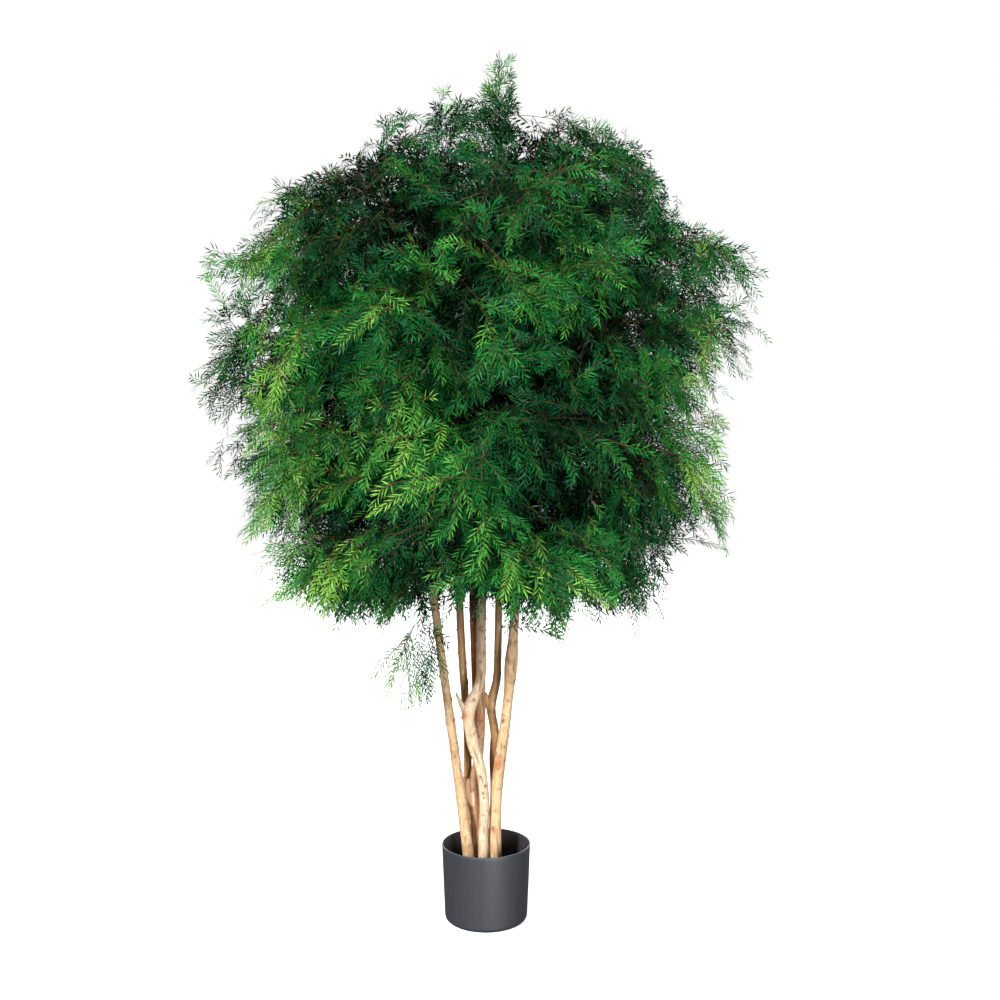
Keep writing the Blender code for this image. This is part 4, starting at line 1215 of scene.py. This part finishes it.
def evenly(line, rings):
    """As many points as there are rings, evenly along a line, and where on the line they are."""
    marks = np.linspace(0, len(line) - 1, rings)
    return np.column_stack([np.interp(marks, range(len(line)), line[:, k]) for k in range(3)]), marks


def tapered(paths, radii, sides):
    """Vertices and faces of many limbs with as many rings each, closed at both ends."""
    tangents = unit_rows(np.gradient(paths, axis=1))
    lean = np.where(np.abs(tangents[:, :1, 2:]) > 0.9, (1.0, 0.0, 0.0), (0.0, 0.0, 1.0))
    side = unit_rows(np.cross(tangents, lean))
    lift = np.cross(side, tangents)
    angles = np.arange(sides) * math.tau / sides
    ring = side[:, :, None] * np.cos(angles)[:, None] + lift[:, :, None] * np.sin(angles)[:, None]
    points = (paths[:, :, None] + ring * radii[:, :, None, None]).reshape(-1, 3)
    return points, ring_faces(*paths.shape[:2], sides)


def lathe(profile, sides):
    """Vertices and faces of a closed shape turned about the pot's axis, from its foot to its last ring."""
    angles = np.arange(sides) * math.tau / sides
    circle = np.column_stack((np.cos(angles), np.sin(angles)))
    radii, heights = np.array(profile).T
    rings = np.broadcast_to(heights[:, None, None], (len(heights), sides, 1))
    points = np.concatenate((radii[:, None, None] * circle, rings), axis=2)
    return points, ring_faces(1, len(heights), sides)


def needle_mesh(feathers, girth, draw):
    """Folded two-faced needles in two ranks along each feather."""
    counts = np.maximum(LEAST_NEEDLES, (feathers[:, LENGTH] / (NEEDLE_SPACING * girth)).astype(int))
    number = np.repeat(np.arange(len(feathers)), counts)
    order = np.arange(len(number)) - np.repeat(np.cumsum(counts) - counts, counts)
    rows = feathers[number]
    heading, length, facing = rows[:, HEADING], rows[:, LENGTH], rows[:, FACING]
    points = []
    for hand in (-1, 1):
        # The two ranks are half a spacing apart.
        share = np.clip((order + 0.5 + 0.25 * hand) / counts[number], 0, 1)
        roots = rows[:, ROOT] + heading * (share * length)[:, None]
        roots -= UP * (FEATHER_SAG * share**2 * length)[:, None]
        axis = unit_rows(heading - UP * (2 * FEATHER_SAG * share)[:, None])
        side = unit_rows(np.cross(axis, facing))
        up = np.cross(side, axis)
        opening = between(NEEDLE_OPENING, share) + draw.normal(0, NEEDLE_OPENING_SPREAD, len(share))
        lift = draw.normal(*NEEDLE_LIFT, len(share))
        course = axis * np.cos(opening)[:, None] + side * (hand * np.sin(opening) * np.cos(lift))[:, None]
        course += up * (np.sin(opening) * np.sin(lift))[:, None]
        swell = np.sin(math.pi * np.clip(share * WAVE_PART + WAVE_START, 0, 1))
        size = NEEDLE_LENGTH * ((1 - NEEDLE_SHORTER) + NEEDLE_SHORTER * swell)
        size *= draw.uniform(*NEEDLE_SIZES, len(share))
        across = unit_rows(np.cross(course, up + side * 0.001))
        fold = np.cross(across, course)
        half = girth * NEEDLE_WIDTH / 2 * draw.uniform(*NEEDLE_WIDTHS, len(share))
        middle = roots + course * (size * NEEDLE_WIDEST)[:, None] - fold * (half * NEEDLE_FOLD)[:, None]
        spread = across * half[:, None]
        tips = roots + course * size[:, None] - fold * (size * NEEDLE_BEND)[:, None]
        points.append(np.stack((roots, middle + spread, tips, middle - spread), axis=1))
    return np.concatenate(points)


# Stems, boughs, pot and filling


def stem_marks(name, heights, angles, radii):
    """How far each spot of a stem is raised and how brown and orange it is, by its listed marks and by
    small ones dealt out along it."""
    draw = np.random.default_rng(list(STEMS).index(name))
    rows = list(STEM_MARKS[name])
    for _ in range(SMALL_MARKS):
        kind = ("hole", "knot", "patch")[draw.integers(3)]
        place = (draw.uniform(*SMALL_MARK_HEIGHTS), draw.uniform(0, 360))
        rows.append((kind, *place, draw.uniform(*SMALL_MARK_SIZES)))
    for height in np.arange(FIRST_RING, heights[-1], RING_SPACING):
        shift = draw.uniform(-RING_SHIFT, RING_SHIFT)
        rows.append(("ring", height + shift, draw.uniform(*RING_AZIMUTHS), RING_SIZE))
    raised, brown, orange = np.zeros((3, len(heights), len(angles)))
    for kind, height, azimuth, size in rows:
        up = (heights[:, None] - height) / size + 0 * angles
        turn = (angles - math.radians(azimuth) + math.pi) % math.tau - math.pi
        sideways = radii[:, None] * turn
        spot = np.exp(-(up**2) - (sideways / size) ** 2)
        if kind == "knot":
            raised += KNOT_RISE * size * spot
            brown = np.maximum(brown, spot)
        elif kind == "hole":
            raised -= HOLE_DEPTH * size * spot
            brown = np.maximum(brown, HOLE_TONE * spot)
        elif kind == "patch":
            orange = np.maximum(orange, PATCH_TONE * spot)
        elif kind == "ring":
            least, more, spread = RING_ARC
            tone, below, sharp = RING_EDGE
            arc = least + more * np.exp(-((turn / spread) ** 2))
            up = waves(RING_WAVES, turn, height, start=up)
            raised += RING_RISE * size * np.exp(-(up**2)) * arc
            brown = np.maximum(brown, tone * np.exp(-((up + below) ** 2) * sharp) * arc**2)
        elif kind == "crack":
            cleft = np.exp(-(up**4)) * np.exp(-((sideways / CRACK_WIDTH + CRACK_SLANT * up) ** 2))
            raised -= CRACK_DEPTH * cleft
            brown = np.maximum(brown, cleft)
        elif kind == "scar":
            away = np.hypot(up, sideways / (SCAR_NARROW * size))
            rim = np.exp(-(((away - 1) / SCAR_SPREADS[0]) ** 2))
            dish = np.exp(-((away / SCAR_SPREADS[1]) ** 2))
            raised += size * (SCAR_RISE[0] * rim - SCAR_RISE[1] * dish)
            plain = waves(SCAR_RIM_WAVES, turn, height, start=SCAR_RIM)
            brown = np.maximum(brown, SCAR_TONES[0] * rim * plain)
            orange = np.maximum(orange, SCAR_TONES[1] * dish)
    return raised, np.clip(brown, 0, 1), orange


def stub_mesh(path, height, azimuth, rise, length, radii, face):
    """A stub that leaves the middle of a stem and ends in a flat oblique cut, with a paler inner ring."""
    start = stem_at(path, height)[0]
    heading, face = unit(outward(math.radians(azimuth)) + rise * UP), unit(np.array(face))
    side = unit(np.cross(heading, (0.0, 1.0, 0.0)))
    angles = np.arange(STUB_SIDES) * math.tau / STUB_SIDES
    ring = np.outer(np.cos(angles), side) + np.outer(np.sin(angles), np.cross(heading, side))
    girth = waves(STUB_WAVES, angles, height, start=1)
    reach = length - radii[1] * (ring @ face) / (heading @ face)
    rows = []
    for share in np.linspace(0, 1, STUB_RINGS):
        radius = between(radii, share) * girth
        rows.append(start + ring * radius[:, None] + np.outer(reach * share, heading))
    centre = rows[-1].mean(axis=0)
    rows.append(centre + (rows[-1] - centre) * CUT_RIM)
    cut = np.zeros((len(rows), STUB_SIDES))
    cut[-1] = 1
    return np.array(rows), cut


def dress_stem(name, finish):
    """Relief mesh of a stem with its marks and its stubs of pruned branches."""
    points, radii = stem_path(name, RELIEF_RINGS)
    heights, seed = points[:, 2], STEM_SEED * list(STEMS).index(name)
    angles = np.arange(RELIEF_SIDES) * math.tau / RELIEF_SIDES
    raised, brown, orange = stem_marks(name, heights, angles, radii)
    foot = np.exp(-(heights - STEM_FOOT) / FOOT_RIBS_HEIGHT)[:, None]
    shape = waves(STEM_WAVES, angles, heights[:, None], seed, 1)
    shape += foot * waves(FOOT_RIBS, angles, heights[:, None], seed)
    grain = [
        [
            sum(
                size * noise.noise((math.cos(turn) * fine + seed, math.sin(turn) * fine, height * rate))
                for size, fine, rate in STEM_GRAIN
            )
            for turn in angles
        ]
        for height in heights
    ]
    radius = radii[:, None] * (shape + np.array(grain)) + raised
    tangents = unit_rows(np.gradient(points, axis=0))
    tangents[0] = UP
    right = unit_rows(np.array((1.0, 0.0, 0.0)) - tangents * tangents[:, :1])
    back = np.cross(tangents, right)
    ring = right[:, None] * np.cos(angles)[:, None] + back[:, None] * np.sin(angles)[:, None]
    spots = [(points[:, None] + ring * radius[..., None]).reshape(-1, 3)]
    faces = flipped(ring_faces(1, len(heights), RELIEF_SIDES))
    marks = {"brown": [brown.ravel()], "orange": [orange.ravel()], "cut": [np.zeros(brown.size)]}
    for row in STUBS:
        if row[0] != name:
            continue
        stub, cut = stub_mesh((points, radii), *row[1:])
        offset = sum(len(part) for part in spots)
        faces += [rows + offset for rows in flipped(ring_faces(1, len(stub), STUB_SIDES))]
        spots.append(stub.reshape(-1, 3))
        marks["brown"].append(np.full(cut.size, THIN_STUB_BROWN if row[5][0] < THIN_STUB else 0.0))
        marks["orange"].append(np.zeros(cut.size))
        marks["cut"].append(cut.ravel())
    marks = {mark: np.concatenate(parts) for mark, parts in marks.items()}
    piece = mesh_piece(f"relief_of_{name}", np.vstack(spots), faces, finish, smooth=True, marks=marks)
    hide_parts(name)


def dress_boughs(boughs, finish):
    """All boughs in their bark, one joined piece."""
    paths, girths = [], []
    for points, radii in boughs.values():
        path, marks = evenly(smooth_run(points, BOUGH_STEP), BOUGH_RINGS)
        girth = np.interp(marks / marks[-1], np.linspace(0, 1, len(radii)), radii)
        paths.append(path)
        girths.append(girth * (1 + np.array([uneven(spot, BOUGH_UNEVEN) for spot in path])))
    points, faces = tapered(np.array(paths), np.array(girths), BOUGH_SIDES)
    raised = np.array([uneven(spot, BOUGH_LUMPS) for spot in points])
    middles = np.repeat(np.array(paths).reshape(-1, 3), BOUGH_SIDES, axis=0)
    points = points + unit_rows(points - middles) * raised[:, None]
    piece = mesh_piece("boughs_in_bark", points, faces, finish, smooth=True)
    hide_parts(*boughs)


def pot_outer_radius(height):
    """The pot's outer radius at a height."""
    return POT_FOOT_RADIUS + height / POT_HEIGHT * (POT_RIM_RADIUS - POT_FOOT_RADIUS)


def dress_pot(finish):
    """Thin-walled pot with a rounded foot and a rounded lip."""
    profile = [(POT_FOOT_RADIUS - POT_FOOT_ROUND, 0)]
    for turn in np.linspace(0, math.pi / 2, POT_BEND_RINGS)[1:]:
        out = pot_outer_radius(POT_FOOT_ROUND) - POT_FOOT_ROUND * (1 - math.sin(turn))
        profile.append((out, POT_FOOT_ROUND * (1 - math.cos(turn))))
    lip = POT_HEIGHT - POT_WALL / 2
    profile += [(pot_outer_radius(z), z) for z in np.linspace(POT_FOOT_ROUND, lip, POT_WALL_RINGS)[1:]]
    middle = pot_outer_radius(lip) - POT_WALL / 2
    for turn in np.linspace(0, math.pi, POT_BEND_RINGS)[1:]:
        profile.append((middle + POT_WALL / 2 * math.cos(turn), lip + POT_WALL / 2 * math.sin(turn)))
    inner = np.linspace(lip, POT_FOOT_ROUND, POT_INNER_RINGS)[1:]
    profile += [(pot_outer_radius(z) - POT_WALL, z) for z in inner]
    profile.append((POT_FOOT_RADIUS - POT_FOOT_ROUND, POT_WALL))
    points, faces = lathe(profile, POT_SIDES)
    piece = mesh_piece("satin_pot", points, flipped(faces), finish, smooth=True)
    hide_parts("pot")


def dress_filling(stems, finish):
    """Cast filling with a rough top that is drawn up a little round the foot of each stem."""
    foot = POT_FOOT_ROUND + GAP
    side = pot_outer_radius(FILLING_TOP) - POT_WALL - FILLING_CLEAR
    profile = [(pot_outer_radius(foot) - POT_WALL - FILLING_CLEAR, foot)]
    shares = np.linspace(1, FILLING_MIDDLE, FILLING_RINGS)
    profile += [(side * share, FILLING_TOP - FILLING_SINK) for share in shares]
    points, faces = lathe(profile, POT_SIDES // 2)
    rise, spread = FILLING_COLLAR
    for ring in points[1:]:
        for spot in ring:
            spot[2] += uneven(spot, FILLING_LUMPS)
            near = min(math.hypot(*(spot[:2] - path[0][0][:2])) - path[1][0] for path in stems.values())
            spot[2] += rise * math.exp(-max(0.0, near) / spread)
    piece = mesh_piece("cast_filling", points, flipped(faces), finish)
    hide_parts("pot_filling")


# Finishes


def linear(colour):
    """A linear colour from an sRGB hex value."""
    parts = [int(colour[start : start + 2], 16) / 255 for start in (1, 3, 5)]
    return [c / 12.92 if c <= 0.04045 else ((c + 0.055) / 1.055) ** 2.4 for c in parts] + [1.0]


def add_node(tree, kind, inputs=None, **settings):
    """A node with its settings, and inputs that are values or other nodes' outputs."""
    node = tree.nodes.new(kind)
    for key, value in settings.items():
        setattr(node, key, value)
    for key, value in (inputs or {}).items():
        if isinstance(value, bpy.types.NodeSocket):
            tree.links.new(value, node.inputs[key])
        else:
            node.inputs[key].default_value = value
    return node


def plain_finish(name, colour, roughness, specular=0.5):
    """A material with its plain values set."""
    made = bpy.data.materials.new(name)
    made.use_nodes = True
    shader = made.node_tree.nodes["Principled BSDF"]
    shader.inputs["Base Color"].default_value = linear(colour)
    shader.inputs["Roughness"].default_value = roughness
    shader.inputs["Specular IOR Level"].default_value = specular
    return made


def lay_patterns(made, sizes):
    """The patterns of a finish by name, at their spots' real sizes, and the height above the floor."""
    tree = made.node_tree
    place = add_node(tree, "ShaderNodeTexCoord").outputs["Object"]
    fields = {"height": add_node(tree, "ShaderNodeSeparateXYZ", {0: place}).outputs[2]}
    for name, (width, length, detail) in sizes.items():
        scaling = {"Vector": place, "Scale": (1 / width, 1 / width, 1 / length)}
        scaled = add_node(tree, "ShaderNodeMapping", scaling).outputs[0]
        inputs = {"Vector": scaled, "Scale": 1.0, "Detail": detail}
        fields[name] = add_node(tree, "ShaderNodeTexNoise", inputs).outputs[0]
    return fields


def lay_finish(made, fields, layers, roughness, relief):
    """Lays colours over the finish's own, each where its field is between two values and up to a share, and
    takes roughness and relief, of a real depth in metres, from fields as well."""
    tree = made.node_tree
    shader = tree.nodes["Principled BSDF"]
    colour = tuple(shader.inputs["Base Color"].default_value)
    for name, low, high, most, over in layers:
        inputs = {"Value": fields[name], "From Min": low, "From Max": high, "To Max": most}
        share = add_node(tree, "ShaderNodeMapRange", inputs).outputs[0]
        mixed = add_node(tree, "ShaderNodeMix", {0: share, 6: colour, 7: linear(over)}, data_type="RGBA")
        colour = mixed.outputs[2]
    tree.links.new(colour, shader.inputs["Base Color"])
    name, smoothest, roughest = roughness
    inputs = dict(zip(("From Min", "From Max", "To Min", "To Max"), (*NOISE_RANGE, smoothest, roughest)))
    rough = add_node(tree, "ShaderNodeMapRange", {"Value": fields[name]} | inputs).outputs[0]
    tree.links.new(rough, shader.inputs["Roughness"])
    name, depth = relief
    bumps = add_node(tree, "ShaderNodeBump", {"Height": fields[name], "Distance": depth, "Strength": 1.0})
    tree.links.new(bumps.outputs[0], shader.inputs["Normal"])
    return made


def peeled_wood(name, light, dark):
    """Peeled and dried yew stem: matt and pale, with fine grain along it and the marks that its mesh bears.
    Inside the crown it turns dark brown, partly its bark, which stays on there, and partly painted shade."""
    made = plain_finish(f"peeled dry wood of {name.replace('_', ' ')}", light, 0.58)
    fields = lay_patterns(made, WOOD_PATTERNS)
    for mark in ("brown", "orange", "cut"):
        fields[mark] = add_node(made.node_tree, "ShaderNodeAttribute", attribute_name=mark).outputs["Fac"]
    inputs = {0: fields["stains"], 1: BARK_AND_SHADE_SHIFT, 2: fields["height"]}
    ragged = add_node(made.node_tree, "ShaderNodeMath", inputs, operation="MULTIPLY_ADD")
    fields["bark"] = ragged.outputs[0]
    layers = (
        ("grain", 0.42, 0.66, 0.85, dark),
        ("stains", 0.50, 0.70, 0.75, dark),
        ("bleached", 0.60, 0.72, 0.5, "#e9dcc8"),
        ("flecks", 0.62, 0.72, 0.65, "#8a5a34"),
        ("orange", 0.0, 1.0, 1.0, "#b0673a"),
        ("brown", 0.0, 1.0, 1.0, "#5e3a22"),
        # Dark brown inside the crown: bark, and painted shade under the foliage
        ("bark", *BARK_AND_SHADE_HEIGHTS, 1.0, "#5d3a22"),
        ("cut", 0.0, 1.0, 1.0, "#d9a98a"),
    )
    return lay_finish(made, fields, layers, ("grain", 0.50, 0.68), ("grain", 0.0006))


def flaking_bark():
    """Yew bark, red-brown and flaking: matt, with paler scales."""
    made = plain_finish("flaking red-brown yew bark", "#5f3a24", 0.8)
    fields = lay_patterns(made, BARK_PATTERNS)
    layers = (("scales", 0.48, 0.62, 1.0, "#8b5d3b"),)
    return lay_finish(made, fields, layers, ("scales", 0.70, 0.88), ("scales", 0.0012))


def satin_plastic():
    """Injection-moulded polypropylene: slate grey and satin, with faint upright flow lines and scuffs."""
    made = plain_finish("moulded polypropylene, satin slate grey", "#2b2d33", 0.5, 0.8)
    fields = lay_patterns(made, PLASTIC_PATTERNS)
    layers = (("flow", 0.40, 0.62, 0.35, "#303238"), ("scuffs", 0.70, 0.78, 0.5, "#54565f"))
    return lay_finish(made, fields, layers, ("flow", 0.50, 0.54), ("mould_grain", 0.00006))


def dark_cement():
    """Cast cement, dyed dark: rough, with sand in it and paler dust on it."""
    made = plain_finish("dark cast cement", "#262320", 0.92)
    fields = lay_patterns(made, CEMENT_PATTERNS)
    layers = (("sand", 0.52, 0.62, 0.7, "#3a352f"), ("dust", 0.55, 0.70, 0.5, "#4a443c"))
    return lay_finish(made, fields, layers, ("sand", 0.85, 0.95), ("sand", 0.0008))


def twig_bark(name, colour):
    """Thin bark of twigs, brown and matt; the inner twigs' darker brown is painted shade."""
    return plain_finish(f"{name} twig bark, thin and brown", colour, 0.7, 0.2)


def young_shoot():
    """Green bark of this year's shoots: matt."""
    return plain_finish("young green-brown shoot", "#3c5622", 0.6, 0.1)


def preserved_needle(name, colour):
    """Preserved yew needle: waxed and soft, with a low broad sheen."""
    return plain_finish(f"preserved needle, {name.replace('_', ' ')}", colour, 0.38, 0.14)


# Putting the plant together


def spray_tones(branchlets, draw):
    """How light each branchlet is: in patches, with painted shade by its depth in the crown, and with
    painted shade towards the top and painted light towards the bottom, as the lamps stand low."""
    spots = branchlets[:, ROOT] + branchlets[:, HEADING] * branchlets[:, LENGTH, None] / 2
    top, rise = TONE_TOP
    depth = np.maximum(depth_share(spots), np.clip((spots[:, 2] - top) / rise, 0, 1))
    gain, rate = TONE_PATCHES
    tones = np.array([noise.noise(spot * rate) for spot in spots]) * gain
    # Painted shade: sprays deep inside the crown are darker
    middle, gain = PAINTED_SHADE_BY_DEPTH
    tones += draw.normal(0, TONE_SPREAD, len(spots)) + (depth - middle) * gain
    # Painted shade towards the top of the crown and painted light towards its bottom
    tones += np.interp(spots[:, 2], *np.array(PAINTED_LIGHT_BY_HEIGHT).T)
    for x, z, radius, gain in BRIGHT_PATCHES:
        near = np.exp(-((spots[:, 0] - x) ** 2 + (spots[:, 2] - z) ** 2) / radius**2)
        tones += gain * near * (spots[:, 1] < FRONT_Y)
    return tones


def grow_crown(masses, stems, limbs):
    """Runs, branchlets and feathers of all masses."""
    runs, branchlets, feathers = [], [], []
    for name, mass in masses.items():
        rng = random.Random(name)
        main = main_runs(mass, stems, limbs, rng)
        draw = np.random.default_rng(rng.randrange(2**32))
        grown = [trimmed(run, mass, run_reach(mass, draw) if run is not main[0] else 1.0) for run in main]
        if name == "hanging_foliage":
            grown = [run | {"radius": run["radius"] * HANGING_GIRTH} for run in grown]
        else:
            grown += filling_runs(mass, grown, limbs, draw)
        shoots = np.array([row for run in grown for row in branchlets_along(run, mass, rng)])
        rows = feathers_on(shoots, mass, draw)
        tones = spray_tones(shoots, draw)[rows[:, BRANCHLET].astype(int)]
        tones += (rows[:, PLACE] - TIP_MIDDLE) * TIP_TONE
        if name == "hanging_foliage":
            tones += HANGING_TONE
        feathers.append(np.column_stack((rows, tones)))
        branchlets.append(shoots)
        runs += grown
    return runs, np.vstack(branchlets), np.vstack(feathers)


def add_twigs(name, runs, branchlets, bark):
    """Twigs and branchlets of one part of the crown, each kind in a piece."""
    paths = np.array([evenly(run["line"], TWIG_RINGS)[0] for run in runs])
    radii = np.outer([run["radius"] * TWIG_GIRTH for run in runs], np.linspace(1, TWIG_TAPER, TWIG_RINGS))
    points, faces = tapered(paths, radii, TWIG_SIDES)
    mesh_piece(f"{name}_twigs", points, faces, bark, smooth=True)
    shares = np.linspace(0, 1, BRANCHLET_RINGS)[:, None]
    rows = branchlets[:, None]
    length = rows[..., LENGTH, None]
    paths = rows[..., ROOT] + rows[..., HEADING] * length * shares - UP * BRANCHLET_SAG * length * shares**2
    radii = BRANCHLET_RADIUS * np.linspace(1, BRANCHLET_TAPER, BRANCHLET_RINGS) * np.ones((len(rows), 1))
    points, faces = tapered(paths, radii, BRANCHLET_SIDES)
    mesh_piece(f"{name}_branchlets", points, faces, bark, smooth=True)


def add_shoot_axes(feathers, bark):
    """The thin green shoots that bear the needles, each a flat tapering strip that sags with them."""
    rings = len(FEATHER_TAPER)
    rows, shares = feathers[:, None], np.linspace(0, 1, rings)[:, None]
    heading, length = rows[..., HEADING], rows[..., LENGTH, None]
    middles = rows[..., ROOT] + heading * length * shares - UP * FEATHER_SAG * length * shares**2
    side = unit_rows(np.cross(heading, rows[..., FACING])) * FEATHER_RADIUS
    side = side * np.array(FEATHER_TAPER)[:, None]
    points = np.stack((middles - side, middles + side), axis=2)
    first = np.arange(len(feathers) * rings).reshape(-1, rings)[:, :-1].reshape(-1, 1) * 2
    mesh_piece("shoot_axes", points, [first + (0, 1, 3, 2)], bark)


def add_needles(feathers, masses):
    """Needles of each green, in pieces, the first of which stands for the model's masses of foliage."""
    draw = np.random.default_rng(NEEDLE_SEED)
    # Greens go by tone, so painted shade and painted light are dealt out along with the needles' own greens
    kinds = np.digitize(feathers[:, TONE] + draw.normal(0, TONE_SPREAD, len(feathers)), GREEN_CUTS)
    for number, (name, (colour, girth)) in enumerate(NEEDLE_GREENS.items()):
        green = preserved_needle(name, colour)
        needles = needle_mesh(feathers[kinds == number], girth, draw)
        for part, chosen in enumerate(np.array_split(needles, math.ceil(len(needles) / PIECE_NEEDLES))):
            first = np.arange(len(chosen))[:, None] * 4
            faces = np.concatenate((first + (0, 1, 2), first + (0, 2, 3)))
            piece = mesh_piece(f"needles_{name}_{part + 1}", chosen, [faces], green)
            if number == 0:
                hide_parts(*masses)


def build_plant():
    """Grows the plant by the model's rule and dresses each part of it."""
    stems = {name: stem_path(name) for name in STEMS}
    masses = plan_masses()
    boughs = plan_boughs(masses, stems)
    limbs = np.vstack([limb_rows(*path) for path in [*stems.values(), *boughs.values()]])
    runs, branchlets, feathers = grow_crown(masses, stems, limbs)
    for name, woods in STEM_WOODS.items():
        dress_stem(name, peeled_wood(name, *woods))
    dress_boughs(boughs, flaking_bark())
    dress_pot(satin_plastic())
    dress_filling(stems, dark_cement())
    outer_runs = np.array([depth_share(run["line"][-1:])[0] > OUTER_DEPTH for run in runs])
    outer_shoots = depth_share(branchlets[:, ROOT]) > OUTER_DEPTH
    # Twigs deep in the crown take the darker bark, a painted shade
    for name, colour in TWIG_BARKS.items():
        outer = name == "outer"
        chosen = [run for run, is_outer in zip(runs, outer_runs) if is_outer == outer]
        add_twigs(name, chosen, branchlets[outer_shoots == outer], twig_bark(name, colour))
    add_shoot_axes(feathers, young_shoot())
    add_needles(feathers, masses)


# Camera, floor and light


def add_camera():
    """Level camera where the photo was taken from."""
    data = bpy.data.cameras.new("front_camera")
    data.lens = CAMERA_LENS
    data.sensor_width = CAMERA_SENSOR
    camera = bpy.data.objects.new("front_camera", data)
    camera.location = CAMERA_PLACE
    camera.rotation_euler = (math.radians(90), 0, 0)
    bpy.context.scene.collection.objects.link(camera)
    bpy.context.scene.camera = camera


def add_lamp(name, azimuth, elevation, strength, spread):
    """A far softbox: light from one direction, as soft as the angle that the box fills."""
    data = bpy.data.lights.new(name, "SUN")
    data.energy = strength
    data.angle = math.radians(spread)
    lamp = bpy.data.objects.new(name, data)
    lamp.rotation_euler = (math.radians(90 - elevation), 0, math.radians(azimuth + 90))
    bpy.context.scene.collection.objects.link(lamp)


def add_panel(name, place, sides, power):
    """An upright panel that faces the plant, and shows as a soft band on the pot."""
    data = bpy.data.lights.new(name, "AREA")
    data.shape = "RECTANGLE"
    data.size, data.size_y = sides
    data.energy = power
    panel = bpy.data.objects.new(name, data)
    panel.location = place
    panel.visible_camera = False
    panel.rotation_euler = (math.radians(90), 0, math.atan2(place[1], place[0]) + math.radians(90))
    bpy.context.scene.collection.objects.link(panel)


def add_world():
    """White studio: what the camera sees is full white, and what falls on the plant is dimmer."""
    world = bpy.data.worlds.new("white_studio")
    world.use_nodes = True
    tree = world.node_tree
    backdrop = tree.nodes["Background"]
    backdrop.inputs["Color"].default_value = (1, 1, 1, 1)
    seen = add_node(tree, "ShaderNodeLightPath").outputs["Is Camera Ray"]
    strength = add_node(tree, "ShaderNodeMapRange", {"Value": seen, "To Min": WORLD_LIGHT, "To Max": 1.0})
    tree.links.new(strength.outputs[0], backdrop.inputs["Strength"])
    bpy.context.scene.world = world


def add_floor():
    """Matt white floor. It is lit from below as well, as a light table is, which washes out most of the
    shadow on it."""
    mesh = bpy.data.meshes.new("floor")
    corners = [(FLOOR_SIDE * x, FLOOR_SIDE * y, 0) for x, y in ((-1, -1), (1, -1), (1, 1), (-1, 1))]
    mesh.from_pydata(corners, [], [(0, 1, 2, 3)])
    made = plain_finish("matt white studio floor", "#fafafa", 0.9)
    shader = made.node_tree.nodes["Principled BSDF"]
    shader.inputs["Emission Color"].default_value = (1, 1, 1, 1)
    shader.inputs["Emission Strength"].default_value = FLOOR_GLOW
    mesh.materials.append(made)
    floor = bpy.data.objects.new("floor", mesh)
    floor.visible_diffuse = False
    floor.visible_glossy = False
    bpy.context.scene.collection.objects.link(floor)


build_plant()
add_camera()
add_world()
add_floor()
for name, row in LAMPS.items():
    add_lamp(name, *row)
for name, row in PANELS.items():
    add_panel(name, *row)
bpy.context.scene.view_settings.view_transform = "Standard"
